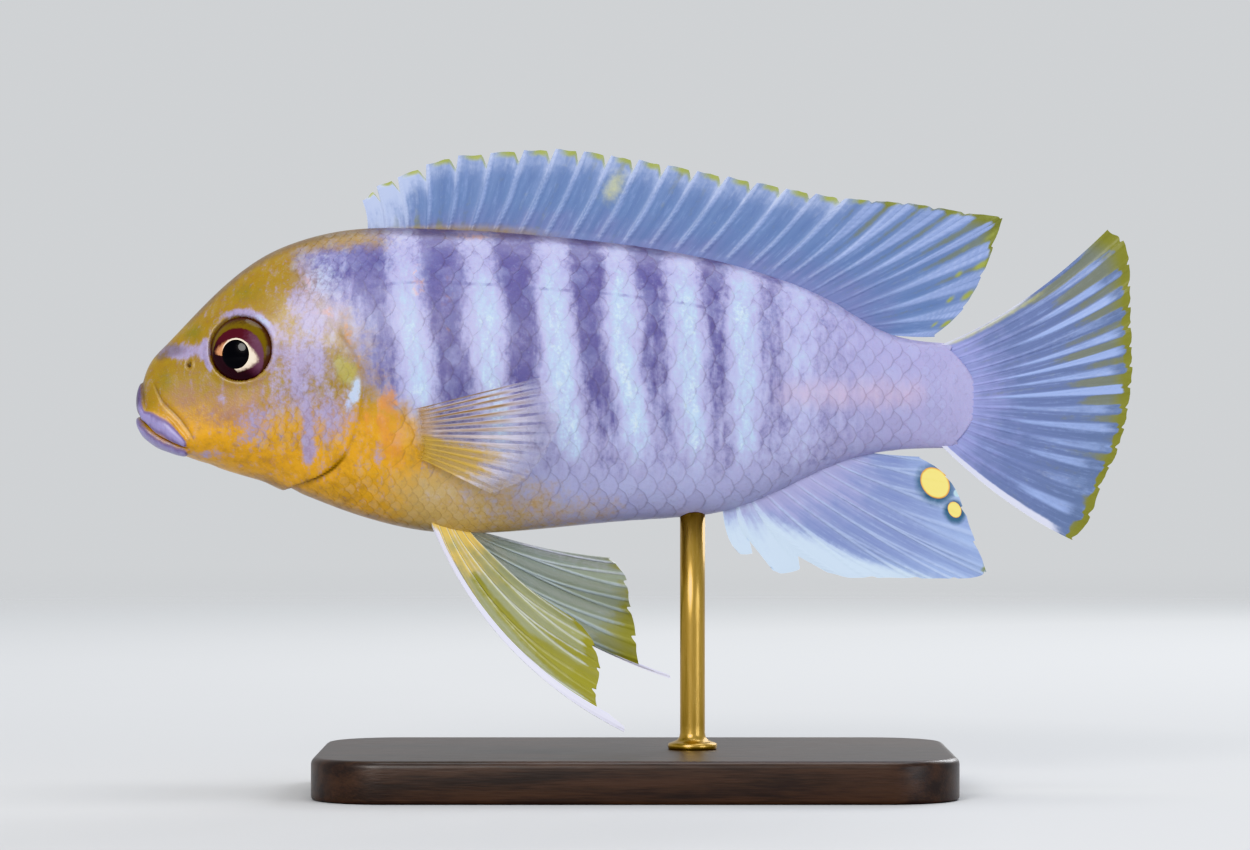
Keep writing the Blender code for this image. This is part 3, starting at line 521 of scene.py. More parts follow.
def skinRelief(x, h):
    # sum of small forms, each a ramp or bell of the distance from its line or centre
    mouth, lips, cleft = mouthRelief(x, h)
    away = np.hypot(x - eyeShape["x"], h - eyeShape["h"])
    socket = 1 - ramp(eyeShape["opening"] - 0.22, eyeShape["opening"] + 0.08, away)
    rim = skinShape["rimHeight"] * bell(away - skinShape["rimRadius"], 0.38)
    nx, nh, nr = skinShape["nostril"]
    hole = np.hypot(x - nx, (h - nh) * 0.85)
    pit = 1 - ramp(nr * 0.6, nr * 1.15, hole)
    nostril = skinShape["nostrilRim"] * bell(hole - 0.5, 0.14) - skinShape["nostrilDepth"] * pit
    behind = x - gillEdgeAt(h)
    free = (1 - ramp(5.5, 8.5, h)) * (0.35 + 0.65 * ramp(-4.5, -8.5, h))  # the cover stands off most low down
    cover = skinShape["coverLift"] * ramp(-6.5, -0.3, behind) * (1 - ramp(-0.1, 0.22, behind)) * free
    groove = -skinShape["coverGroove"] * ramp(-0.05, 0.35, behind) * (1 - ramp(0.4, 2.6, behind)) * free
    cheekX, cheekH, cheekLong, cheekHigh, cheekOut = skinShape["cheek"]
    cheek = cheekOut * bell(x - cheekX, cheekLong) * bell(h - cheekH, cheekHigh)
    flapX, flapH, flapDepth = skinShape["flap"]  # the cheek's rear edge, which runs forward low down
    inner = x - (flapX - 0.11 * (h - flapH) ** 2 * (h < flapH))
    flap = flapDepth * bell(inner, 0.6) * ramp(-6.6, -4.5, h) * (1 - ramp(6.0, 9.0, h))
    fold = bell(h - np.interp(x, *np.array(skinShape["fold"]).T), 0.32)
    fold = fold * ramp(1.4, 2.4, x) * (1 - ramp(6.6, 7.4, x))
    jaw = bell(h - (mouthLineAt(x) - 2.0), 0.35) * ramp(1.5, 2.5, x) * (1 - ramp(8.0, 12.0, x))
    jaw = jaw * skinShape["jawDepth"]
    browRadius, browHeight = skinShape["brow"]
    brow = browHeight * bell(away - browRadius, 0.8) * ramp(4.0, 7.0, h)
    flat = 1 - socket
    height = mouth + nostril + cover + groove + cheek + flap + jaw + brow - skinShape["foldDepth"] * fold
    height = height * flat + rim - skinShape["socketDepth"] * socket
    # painted shade: a crease just behind the gill cover's edge, low down
    creaseShade = ramp(-0.15, 0.15, behind) * (1 - ramp(0.3, 0.9, behind)) * ramp(-5.0, -9.0, h)
    return height, {"lips": lips * flat, "cleft": cleft, "socket": socket, "fold": fold * flat,
                    "creaseShade": creaseShade, "nostril": 1 - ramp(nr * 0.7, nr * 1.2, hole)}


def fishPaint(name, plates):
    # noises are added to each field before it is cut, so that its edge breaks up like pigment in skin
    paint = Paint(name, Specular_IOR_Level=0.5, Coat_Weight=0.16, Coat_Roughness=0.2,
                  Subsurface_Weight=0.05, Subsurface_Scale=0.0008)
    colours = dict(skinShape["colours"])
    spot = paint.coords()
    grain, fine = paint.noise(spot, 1.2, 4.0, 0.65), paint.noise(spot, 2.6, 3.0, 0.6)
    streak = paint.noise(paint.stretch(spot, (1.0, 1.0, 0.25)), 1.2, 3.0)
    patch = paint.noise(spot, 0.4, 3.0)

    def laid(under, layers):
        for field, weights, start, full, strength, colour in layers:
            parts = [noise * weight for noise, weight in zip((grain, fine, streak, patch), weights) if weight]
            parts += [paint.field(field)] if field else []
            mask = sum(parts[1:], parts[0]).step(start, full)
            under = paint.mix(mask * strength, under, colours[colour])
        return under

    bars = paint.field("bars") + grain * 0.9 + streak * 1.1 + fine * 0.6
    light = bars.step(0.08, 1.2) * (fine * 1.6 + streak * 1.4 + 0.84)
    # painted highlight: the brightest mottles of the light bars turn near white, as glints
    paintedGlint = (bars + fine * 1.4 + patch * 1.2).step(0.75, 1.7) * 0.75
    dark = bars.step(0.36, -0.75) * (patch * 0.9 + grain * 0.5 + 0.95)
    flank = paint.mix(light, colours["flank"], colours["lightBar"])
    flank = paint.mix(dark, paint.mix(paintedGlint, flank, colours["paintedGlint"]), colours["darkBar"])
    flank = laid(flank, skinShape["flankPaint"])
    colours["veil"] = paint.mix((grain + fine + streak * 0.5).step(-0.35, 0.3), colours["lilacShade"],
                                colours["lilac"])
    colours["goldPaint"] = laid(colours["highGold"], skinShape["goldPaint"])
    colours["amberPaint"] = paint.mix(paint.field("bars").step(-0.1, -0.6), colours["amber"], colours["rust"])
    colour = laid(flank, skinShape["goldOver"])
    # the lateral line is a row of dashes, thinned out at both ends
    length = paint.part(spot, 0) - body["noseX"]
    dashes = (length * (2 * math.pi / marks["lateralPitch"])).wave() * 0.35 + 0.65
    pores = (paint.field("line") + grain * 0.5).size().step(0.3, 0.08) * dashes
    pores = pores * length.step(*marks["lateralFront"]) * length.step(*marks["lateralRear"])
    colour = laid(paint.mix(pores * 0.5, colour, colours["darkBar"]), skinShape["dust"])
    height = grain * 0.4 + fine * 0.3
    # painted light and shade on the scales, for their relief: lighter in the middle, darker at the free edge
    if plates:  # a plate is lighter in its middle and darker at its edge
        shade = paint.field("shade")
        colour = paint.mix((shade * 0.5).most(0.0), colour, colours["lightBar"])
        colour = paint.mix((shade * -0.5).most(0.0), colour, colours["paintedShadeAndFleck"])
    else:
        colour = laid(colour, skinShape["facePaint"])
        # painted shade on the lips' front, where the painted shade field is strong
        shaded = (paint.field("paintedShadeAndFleck") - 0.35).step(0.1, 0.6) * paint.field("lips")
        colour = paint.mix(shaded * 0.9, colour, colours["lipShade"])
        height = height + paint.noise(spot, 5.0, 2.0) * 0.4
    return paint.finish(colour, grain * 0.25 + 0.4, paint.bump(height, 0.3))


def buildSkin():
    # rings of share s run from the nose to the rounded tail end, x = s * end(turn); columns crowd
    # towards the mouth's line by turn = a + c sin 2a; each point is lifted by the relief along its normal
    many, start, stop = skinShape["snoutRings"]
    snout = np.linspace(math.sqrt(start), math.sqrt(stop), many) ** 2
    rows = np.concatenate([snout, *(np.arange(*ring) for ring in skinShape["rings"]), skinShape["tailRings"]])
    half = skinShape["columns"] // 2
    a = np.linspace(0, math.pi, half + 1)
    turn = a + skinShape["crowding"] * np.sin(2 * a)
    turn = np.concatenate([turn, turn[-2:0:-1]])
    side = np.concatenate([-np.ones(half + 1), np.ones(half - 1)])
    end = np.full(len(turn), 98.0)
    for _ in range(12):  # the end's place depends on its height there, so it is settled in steps
        endHeight = plainSkin(end, turn, 1.0)[..., 2]
        end = 0.5 * end + 0.5 * (body["length"] - body["tailRound"] * (endHeight / body["tailHalf"]) ** 2)
    x = rows[:, None] / body["length"] * end[None, :]
    turn, side = turn[None, :] + 0 * x, side[None, :] + 0 * x
    point = plainSkin(x, turn, side)
    height, extra = skinRelief(x, point[..., 2])
    fields = {**markings(x, point[..., 2]), **extra}
    point = point + skinNormal(x, turn, side) * height[..., None]
    point[..., 1] *= 1 - 0.5 * ramp(97.0, 100.5, x)
    pole = np.array([[skinShape["cleftDepth"], 0.0, stations[0, 1]]])
    count, last = x.shape[1], 1 + (x.shape[0] - 1) * x.shape[1]
    k = np.arange(count)
    nose = np.stack([0 * k, 1 + (k + 1) % count, 1 + k], axis=-1)
    # the last ring is closed across, left to right, with a triangle at its top and bottom
    j = np.arange(1, count // 2 - 1)
    close = np.stack([last + j, last + j + 1, last + count - j - 1, last + count - j], axis=-1)
    tips = np.array([[last, last + 1, last + count - 1],
                     [last + count // 2 - 1, last + count // 2, last + count // 2 + 1]])
    points = np.concatenate([pole, point.reshape(-1, 3)])
    layers = {key: np.append(values.flat[0], values) for key, values in fields.items()}
    skin = newPiece("fishSkin", points, [nose, gridQuads(len(rows), count, True, 1), close, tips],
                    fishPaint("fishSkin", False), layers)
    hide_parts("head", "torso", "tail")


scaleShape = {
    "thickness": 0.05, "sink": -0.03, "camber": 0.04, "sideSink": 0.12,
    "steps": [0.0, 0.38, 0.74, 0.94, 1.0],  # where the rows of a plate's points lie, root to free edge
    "reach": 2.05, "halfWidth": 1.04, "round": 0.34,  # shares of the spacing along and across
    "firstX": 8.0, "lastX": 99.0, "seed": 7,
    # coats: spacing along and across the body, lift of the free edge, points across a plate, strength of the
    # painted shade on its edge
    "flank": {"along": 2.3, "across": 1.95, "lift": 0.125, "points": 5, "edge": 0.5},
    "small": {"along": 1.35, "across": 1.1, "lift": 0.07, "points": 5, "edge": 0.32},
    # the unwrapped skin: how long and high it is, its left end, its middle line's gap, a plate's size on it
    "unwrapped": (110, 125, 0.03, 0.02), "patch": 0.003,
    # the table of arc lengths: places along the body, chords to add up, even shares to keep
    "table": (220, 160, 41),
}
arcShares = np.linspace(0, 1, scaleShape["table"][2])


def arcTable():
    # arc length from the widest level to the back and to the belly at many x, and the turns at even shares
    places, chordEnds, _ = scaleShape["table"]
    x = np.linspace(0.5, body["length"], places)[:, None]
    tables = []
    for stop in (0.0, math.pi):
        turn = np.linspace(math.pi / 2, stop, chordEnds)[None, :] + 0 * x
        point = plainSkin(x + 0 * turn, turn, 1.0)
        chords = np.linalg.norm(np.diff(point, axis=1), axis=-1)
        run = np.concatenate([0 * x, np.cumsum(chords, axis=1)], axis=1)
        even = np.array([np.interp(arcShares * r[-1], r, w) for r, w in zip(run, turn)])
        tables.append((run[:, -1], even))
    return x[:, 0], tables


arcX, (arcUp, arcDown) = arcTable()


def turnAtArc(x, arc):
    # arc is measured up from the widest level: its share of the way to back or belly is looked up
    # between the four nearest entries of the table
    up = arc > 0
    total = np.where(up, np.interp(x, arcX, arcUp[0]), np.interp(x, arcX, arcDown[0]))
    share = np.clip(np.abs(arc) / total, 0, 1) * (len(arcShares) - 1)
    i = np.clip((x - arcX[0]) / (arcX[1] - arcX[0]), 0, len(arcX) - 1.001)
    i0, j0 = np.floor(i).astype(int), np.minimum(np.floor(share).astype(int), len(arcShares) - 2)
    fi, fj = i - i0, share - j0

    def between(even):
        return ((1 - fi) * (1 - fj) * even[i0, j0] + fi * (1 - fj) * even[i0 + 1, j0]
                + (1 - fi) * fj * even[i0, j0 + 1] + fi * fj * even[i0 + 1, j0 + 1])
    return np.where(up, between(arcUp[1]), between(arcDown[1]))


def scaleRoots(coat, keep):
    # rows a fixed distance apart, every other one moved on by half a scale; keep says where they grow,
    # and a plate with gaps diagonally ahead of it or behind it is settled closer to the skin
    along, across = coat["along"], coat["across"]
    x = np.arange(scaleShape["firstX"], scaleShape["lastX"], along)
    x, row = np.meshgrid(x, np.arange(-26, 27), indexing="ij")
    odd = row % 2 == 1
    x = x + odd * along / 2
    shrink = 1 - 0.28 * ramp(70.0, 96.0, x)
    arc = (row + 0.5) * across * shrink
    up, down = np.interp(x, arcX, arcUp[0]), np.interp(x, arcX, arcDown[0])
    inside = (arc < up - 0.15 * across) & (-arc < down - 0.15 * across)
    h = plainSkin(x, turnAtArc(x, arc), 1.0)[..., 2]
    grows = inside & keep(x, h)
    padded = np.pad(grows, 1).astype(float)
    ahead = np.where(odd, padded[1:-1, 2:] + padded[1:-1, :-2], padded[:-2, 2:] + padded[:-2, :-2]) / 2
    behind = np.where(odd, padded[2:, 2:] + padded[2:, :-2], padded[1:-1, 2:] + padded[1:-1, :-2]) / 2
    settled = (0.1 + 0.9 * ahead) * (0.55 + 0.45 * behind)
    return x[grows], arc[grows], shrink[grows], settled[grows]


def buildScales(name, side, coat, roots, material):
    # a plate is a patch (p, w): x = root + reach (p (1 - round w^2) - 1/2), arc = root + half width w,
    # lifted in proportion to p towards its free rear edge, lowered by camber w^2 and, ahead, by w^6
    x0, arc0, shrink, settled = roots
    steps, plates = scaleShape["steps"], len(x0)
    rows, columns = len(steps), coat["points"]
    p, w = np.meshgrid(steps, np.linspace(-1, 1, columns), indexing="ij")
    reach = (scaleShape["reach"] * coat["along"] * shrink)[:, None, None]
    halfWidth = (scaleShape["halfWidth"] * coat["across"] * shrink)[:, None, None]
    x = x0[:, None, None] + (p * (1 - scaleShape["round"] * w ** 2) - 0.5) * reach
    x = np.clip(x, 1.0, body["length"] - 0.1)
    widening = 0.8 + 0.2 * np.sin(np.minimum(p * 1.3, 1.0) * math.pi / 2)
    arc = arc0[:, None, None] + w * widening * halfWidth
    turn = turnAtArc(x, arc)
    base = plainSkin(x, turn, side)
    normal = skinNormal(x, turn, side)
    h = base[..., 2]
    relief = skinRelief(x, h)[0]
    edge = gillEdgeAt(h)  # plates that reach it dive under the gill cover
    under = (1 - ramp(-0.1, 0.5, x - edge)) * (1 - ramp(5.5, 8.5, h)) * (x0 > edge[:, 0, 0])[:, None, None]
    curl = scaleShape["camber"] * w ** 2 + scaleShape["sideSink"] * w ** 6 * (1 - p)
    lift = (coat["lift"] * p - curl)[None] * settled[:, None, None] + scaleShape["sink"]
    top = base + normal * (relief - under + lift)[..., None]
    bottom = top - normal * scaleShape["thickness"]
    count = rows * columns
    points = np.concatenate([top.reshape(plates, -1, 3), bottom.reshape(plates, -1, 3)], axis=1)
    quads, ring = gridQuads(rows, columns), gridRing(rows, columns)
    after = np.roll(ring, -1)
    wall = np.stack([ring, after, after + count, ring + count], axis=-1)
    plate = np.concatenate([quads[:, ::-1], quads + count, wall])
    faces = (plate[None] + (np.arange(plates) * 2 * count)[:, None, None]).reshape(-1, 4)
    random = np.random.default_rng(scaleShape["seed"] + plates + int(side))
    # painted shade, darkest on the free edge, and painted light, lightest in the middle; each plate also gets
    # a random tone
    rim = np.maximum(np.clip((p - 0.94) / 0.06, 0, 1), 0.5 * w ** 8) + 0.25 * p ** 4 * (1 - w ** 2) - 0.12
    shade = (random.random(plates) - 0.5)[:, None] * 0.26 - np.tile(rim.ravel(), 2) * coat["edge"]
    fields = {key: np.tile(values.reshape(plates, -1), 2).ravel() for key, values in markings(x, h).items()}
    fields["shade"] = shade.ravel()
    # each plate's patch lies at its root's place on the unwrapped skin
    rootHeight = plainSkin(x0, turnAtArc(x0, arc0), side)[..., 2]
    long, high, left, gap = scaleShape["unwrapped"]
    home = np.stack([x0 / long + left, 0.5 + side * (gap + (24 - rootHeight) / high)], axis=-1)
    spot = np.stack([p - 0.5, w / 2], axis=-1).reshape(-1, 2) * scaleShape["patch"]
    uv = (home[:, None] + np.tile(spot, (2, 1))[None]).reshape(-1, 2)
    piece = newPiece(name, points.reshape(-1, 3), [faces], material, fields, uv, "OFBake", True)


def finelyScaled(x, h):
    # nape, breast and the end of the tail root carry small scales, as the cheek does
    nape = (x < 33) & (h > 12 + 0.25 * (x - 20))
    chest = (x < 50) & (h < -6.5 - 0.30 * (x - 26))
    return nape | chest | (x > 93.0)


def flankGrows(x, h):
    return (x > gillEdgeAt(h) + 1.1) & ~finelyScaled(x, h)


def smallGrows(x, h):
    eyeAway = np.hypot(x - eyeShape["x"], h - eyeShape["h"])
    gill = gillEdgeAt(h)
    nape = (x > 17.0) & (h > 10.5) & (x < gill + 2.2)
    cheek = (x > 12.5) & (h < 10.5) & (h > -7.0) & (x < gill - 1.7) & (eyeAway > 5.8)
    rest = (x > gill + 0.9) & finelyScaled(x, h) & (x < 96.6 + 0.9 * np.sin(h * 3.1))
    return nape | cheek | rest


def buildCoat():
    paint = fishPaint("fishScales", True)
    for side, word in bothSides:
        for key, keep in (("flank", flankGrows), ("small", smallGrows)):
            roots = scaleRoots(scaleShape[key], keep)
            buildScales(key + "Scales" + word, side, scaleShape[key], roots, paint)
            print(word.lower(), key, "scales:", len(roots[0]))


eyeLooks = {
    # places from the middle of the eye, back and up, with radii; the silver almond has two and a slant
    "pupil": (-0.16, -0.84, 1.72), "silver": (-0.22, -0.92, 2.86, 2.02, -0.19), "ring": (-0.14, -0.94, 3.3),
    "outline": 3.6, "rings": 80, "spokes": 128, "poleHole": 0.012,
    "lensHeight": 0.16, "moatDepth": 0.05, "moatRadius": 2.6, "almond": 1.5,
    "colours": {
        "silver": tint(255, 240, 218), "tan": tint(206, 148, 108), "shade": tint(96, 44, 40),
        "maroon": tint(74, 28, 36), "plum": tint(104, 70, 88), "dark": tint(34, 12, 18),
        # painted shadow: the second colour on the next line darkens the top of the eye under the lid
        "olive": tint(102, 82, 20), "lidShadow": tint(64, 40, 20), "rim": tint(66, 40, 28),
        "pupil": tint(3, 2, 4)},
}


def eyeFrame(side):
    # centre, outward axis, forward and upward directions of one eye
    x, h = np.array(eyeShape["x"]), np.array(eyeShape["h"])
    turn = turnAtHeight(x, h)
    axis = skinNormal(x, turn, np.array(side))
    centre = plainSkin(x, turn, side) - axis * eyeShape["sunk"]
    back = np.cross(axis, [0.0, 0.0, 1.0]) * side
    back /= np.linalg.norm(back)
    up = np.cross(back, axis) * side
    return centre, axis, back, up / np.linalg.norm(up)


def buildEye(side, word, material):
    # polar grid about the eye's axis: a flattened ball, height = thickness cos(tip), with a low lens
    # bulge over the pupil and a shallow moat round it
    centre, axis, back, up = eyeFrame(side)
    rings, spokes = eyeLooks["rings"], eyeLooks["spokes"]
    tip = np.linspace(eyeLooks["poleHole"], math.pi - eyeLooks["poleHole"], rings)[:, None]
    angle = np.linspace(0, 2 * math.pi, spokes, endpoint=False)[None, :]
    away = eyeShape["radius"] * np.sin(tip) + 0 * angle
    u, v = away * np.cos(angle), away * np.sin(angle)
    pupilX, pupilH, pupilRadius = eyeLooks["pupil"]
    fromPupil = np.hypot(u - pupilX, v - pupilH)
    silverX, silverH, longHalf, shortHalf, slant = eyeLooks["silver"]
    du, dv = u - silverX, v - silverH
    lengthwise = np.abs(du * math.cos(slant) + dv * math.sin(slant)) / longHalf
    sideways = np.abs(dv * math.cos(slant) - du * math.sin(slant)) / shortHalf
    power = eyeLooks["almond"]
    silver = (lengthwise ** power + sideways ** power) ** (1 / power)  # 1 on the outline of an almond
    ringX, ringH, _ = eyeLooks["ring"]
    front = tip < math.pi / 2
    lens = eyeLooks["lensHeight"] * np.sqrt(np.clip(1 - (fromPupil / (pupilRadius * 1.1)) ** 2, 0, 1))
    lens -= eyeLooks["moatDepth"] * bell(fromPupil - eyeLooks["moatRadius"], 0.5)
    height = eyeShape["thickness"] * np.cos(tip) + np.where(front, lens, 0)
    points = (centre + axis * height[..., None] + back * u[..., None] + up * v[..., None]).reshape(-1, 3)
    fields = {"fromPupil": fromPupil, "silver": silver, "fromRing": np.hypot(u - ringX, v - ringH),
              "away": np.where(front, away, 9.0), "height": v, "back": u,
              "gap": ramp(0.3, -0.9, du) * ramp(0.25, -0.5, dv)}
    k = np.arange(spokes)
    first, last = rings * spokes, (rings - 1) * spokes
    poles = np.array([centre + axis * height[0].mean(), centre - axis * eyeShape["thickness"]])
    caps = [np.stack([0 * k + first, (k + 1) % spokes, k], axis=-1),
            np.stack([0 * k + first + 1, last + k, last + (k + 1) % spokes], axis=-1)]
    layers = {key: np.concatenate([value.ravel(), [value[0].mean(), value[-1].mean()]])
              for key, value in fields.items()}
    eye = newPiece("eyeball" + word, np.concatenate([points, poles]), [gridQuads(rings, spokes, True)] + caps,
                   material, layers)
    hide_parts("eye_" + word.lower())


def eyePaint():
    # rings about the pupil, each cut from a distance that fibres make a little uneven
    paint = Paint("fishEye", Coat_Weight=0.3, Coat_Roughness=0.03, Specular_IOR_Level=0.1)
    colours = eyeLooks["colours"]
    pupilRadius, ringRadius, outline = eyeLooks["pupil"][2], eyeLooks["ring"][2], eyeLooks["outline"]
    fibre = paint.noise(paint.coords(), 3.2, 4.0, 0.6)
    height, back, silver = paint.field("height"), paint.field("back"), paint.field("silver")
    fromPupil = paint.field("fromPupil")
    # painted shadow of the lid: the top of the eye is dark, olive below it
    colour = paint.mix((height * -0.4 + fibre * 0.9).step(-1.6, -0.9), colours["lidShadow"], colours["olive"])
    rim = (paint.field("away") + fibre * 0.3).step(outline - 0.35, outline)
    colour = paint.mix(rim, colour, colours["rim"])
    inner = paint.mix((back * 0.35 + fibre * 0.7).step(0.1, 1.0), colours["maroon"], colours["plum"])
    inner = paint.mix((height * -0.3 - back * 0.2 + fibre * 0.5).step(0.1, 0.8), inner, colours["dark"])
    ring = (paint.field("fromRing") + fibre * 0.35).step(ringRadius + 0.12, ringRadius - 0.14)
    colour = paint.mix(ring, colour, inner)
    bright = (silver + fibre * 0.2 + paint.field("gap") * 0.7).step(1.06, 0.9)
    shine = paint.mix((back * -1.0 + fibre * 1.2).step(0.2, 1.8), colours["silver"], colours["tan"])
    shine = paint.mix((silver + fibre * 0.3).step(0.75, 1.0) * 0.55, shine, colours["shade"])
    colour = paint.mix(bright, colour, shine)
    thin = (fromPupil + fibre * 0.1).step(pupilRadius + 0.24, pupilRadius + 0.12)
    colour = paint.mix(thin * (height + 0.6).step(0.0, 1.0) * 0.8, colour, colours["silver"])
    colour = paint.mix(fromPupil.step(pupilRadius + 0.05, pupilRadius - 0.03), colour, colours["pupil"])
    return paint.finish(colour, 0.25)


# Fins are sheets over (place, flow): place counts rays along the fin, flow runs from root to edge.

def along(keys, place):
    # every column of the keys after the first, read at places along the fin
    first, *columns = np.array(keys, float).T
    return np.stack([steadyThrough(first, column)(place) for column in columns], axis=-1)


def raysOf(fin):
    # the places along a fin, and each as a share from 0 at its first ray to 1 at its last
    place = np.linspace(0, fin["rays"] - 1, (fin["rays"] - 1) * fin["perGap"] + 1)
    return place, place / (fin["rays"] - 1)


def upright(x, h):
    # a line in the fish's middle plane
    return np.stack([x, 0 * x, h], axis=-1)


def finSheet(fin, place, root, tip, bow, across):
    # a point is root + (tip - root) run + bow 4 run (1 - run), run = flow less the notch before each ray;
    # the sheet is thick at its root, thin in its membrane and ridged along each ray and its branches
    flow = np.linspace(0, 1, fin["rows"]) ** 0.85
    part = place - np.floor(place)
    notch = along(fin["notch"], place)[:, 0]
    fall = notch * (0.15 * part + 0.85 * ramp(0.7, 0.94, part)) * (1 - ramp(0.95, 1.0, part))
    ragged = fin["ragged"] * np.abs(np.sin(place * 5.3) * np.sin(place * 2.1 + 1.0))
    reach = 1 - (fall + ragged) / np.linalg.norm(tip - root, axis=-1)
    run = flow[None, :, None] * reach[:, None, None]
    middle = root[:, None] + (tip - root)[:, None] * run + bow[:, None] * (4 * run * (1 - run))
    soft = ramp(fin["softFrom"] - 0.6, fin["softFrom"] + 0.6, place)[:, None]
    distance = (place - np.round(place))[:, None]
    fork = fin["fork"] * ramp(0.3, 1.0, flow) * soft
    ridge = np.maximum(bell(distance - fork, fin["rayWidth"]), bell(distance + fork, fin["rayWidth"]))
    ridge = ridge * (1 - fin["flatLead"] * ramp(0.8, 0.3, place))[:, None]
    edgeFade = (1 - 0.75 * ramp(0.2, 1.0, flow)) * (0.35 + 0.65 * ramp(0.0, 0.3, flow))
    half = (fin["membrane"] + fin["ridge"] * ridge * edgeFade * (1 - 0.35 * soft)
            + (fin["rootThickness"] - fin["membrane"]) * (1 - ramp(0.0, fin["rootReach"], flow))) / 2
    half = half * (1 - 0.45 * ramp(0.93, 1.0, flow))
    # the thickness lies across the fin: along a fixed direction at the root, its own normal further out
    normal = np.cross(np.gradient(middle, axis=0), np.gradient(middle, axis=1))
    normal /= np.maximum(np.linalg.norm(normal, axis=-1, keepdims=True), 1e-9)
    normal *= np.sign((normal * across).sum(-1).mean())
    hold = (1 - ramp(0.0, 0.25, flow))[None, :, None]
    direction = across * hold + normal * (1 - hold)
    direction /= np.linalg.norm(direction, axis=-1, keepdims=True)
    pleat = fin["pleat"] * np.sin(math.pi * place)[:, None] * flow ** 1.5
    return flow, middle + direction * pleat[..., None], direction * half[..., None]


def buildFin(name, fin, root, tip, bow, across, material, makeFields, node):
    # two layers of the same grid, half the thickness to either side of the sheet, joined round their rim
    place, share = raysOf(fin)
    flow, middle, offset = finSheet(fin, place, root, tip, bow, across)
    points = np.concatenate([(middle + offset).reshape(-1, 3), (middle - offset).reshape(-1, 3)])
    rows, far = len(flow), len(place) * len(flow)
    near, ring = gridQuads(len(place), rows), gridRing(len(place), rows)
    rim = np.stack([ring, np.roll(ring, -1), far + np.roll(ring, -1), far + ring], axis=-1)
    uv = np.tile(np.stack([np.repeat(share, rows), np.tile(flow, len(place))], axis=-1), (2, 1))
    fields = {"soft": 1.0, "width": fin["looks"]["lineWidth"], "pale": 0.0,
              **makeFields(place[:, None], flow[None, :], middle)}
    fields = {key: np.tile(np.broadcast_to(value, (len(place), rows)).ravel(), 2)
              for key, value in fields.items()}
    piece = newPiece(name, points, [near[:, ::-1], near + far, rim], material, fields, uv, crisp=True)
    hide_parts(node)


def finPaint(name, fin):
    # root to blade colour, ray streaks and lines on the fin's own coordinates, olive and pale by fields
    looks = fin["looks"]
    paint = Paint(name, Specular_IOR_Level=0.4, Coat_Weight=0.2, Coat_Roughness=0.25)
    uv = paint.add("ShaderNodeUVMap", {"uv_map": "Rays"})
    place, flow = paint.part(uv, 0) * (fin["rays"] - 1.0), paint.part(uv, 1)
    spot = paint.coords()
    grain, broad = paint.noise(spot, 1.4, 4.0, 0.6), paint.noise(spot, 0.4, 2.0)

    def drawnOut(often, slowly, *detail):
        spread = paint.add("ShaderNodeCombineXYZ", {}, {0: place * often, 1: flow * slowly})
        return paint.noise(spread, 1.0, *detail)
    dashes, fibre, vary = drawnOut(3.0, 9.0, 3.0), drawnOut(5.0, 2.5, 4.0, 0.65), drawnOut(1.1, 1.6, 2.0)
    distance = (place - place.nearest()).size()
    fork = flow.step(0.3, 1.0) * paint.field("soft") * looks["fork"]
    line = ((distance - fork).size() / paint.field("width")).step(1.0, 0.25)
    between = (distance - fork * 0.5).size().step(looks["gapFrom"], looks["gapFrom"] + 0.26)
    pale = paint.field("pale")
    colour = paint.mix((flow + broad * 0.5).step(0.0, looks["midAt"]), looks["root"], looks["middle"])
    colour = paint.mix((flow + broad * 0.3).step(looks["midAt"], 1.0), colour, looks["outer"])
    calm = flow.step(-0.05, 0.25) * looks["betweenAmount"]
    colour = paint.mix((between * 0.7 + fibre * 2.2 + grain * 0.6) * calm, colour, looks["between"])
    colour = paint.mix((grain * 0.4 - fibre).step(0.0, 0.3) * 0.45, colour, looks["ray"])
    shown = (paint.field("streak") + dashes * 0.8 + vary * looks["vary"]) * flow.step(0.0, looks["lineFrom"])
    colour = paint.mix(line * shown, colour, looks["ray"])
    colour = paint.mix((pale + grain * 0.4 + fibre * 0.8 + line * 0.2).step(0.2, 1.0), colour, looks["pale"])
    olive = (paint.field("olive") + between * looks["oliveBetween"]
             - line * looks["rayOver"] * flow.step(1.0, 0.92) + grain * 0.5 + dashes * 0.4 + vary * 0.7)
    olive = pale.step(0.9, 0.5) * olive.step(0.5, 0.95)
    colour = paint.mix(olive * (flow.step(0.86, 0.97) * 0.4 + looks["oliveOver"]), colour, looks["olive"])
    for field, shade, low, high in fin["spots"]:
        colour = paint.mix((paint.field(field) + grain * (high - low) * 0.6).step(low, high), colour, shade)
    height = line * 0.8 + (flow * looks["joints"] + dashes * 2.0).wave() * line * 0.25 + grain * 0.4
    alpha = None
    if looks["clear"] > 0:  # clear between the rays, at the tip and where the fin leaves the skin
        bare = (between * flow.step(0.02, 0.2)).most(flow.step(0.5, 0.95) * looks["tipClear"])
        alpha = 1.0 - bare * (1.0 - olive * 0.5) * (1.0 - pale) * looks["clear"]
        alpha = alpha * (1.0 - (flow + grain * 0.08).step(0.13, 0.02) * looks["rootClear"])
    return paint.finish(colour, grain * 0.2 + 0.42, paint.bump(height, 0.35, 0.00015), alpha)


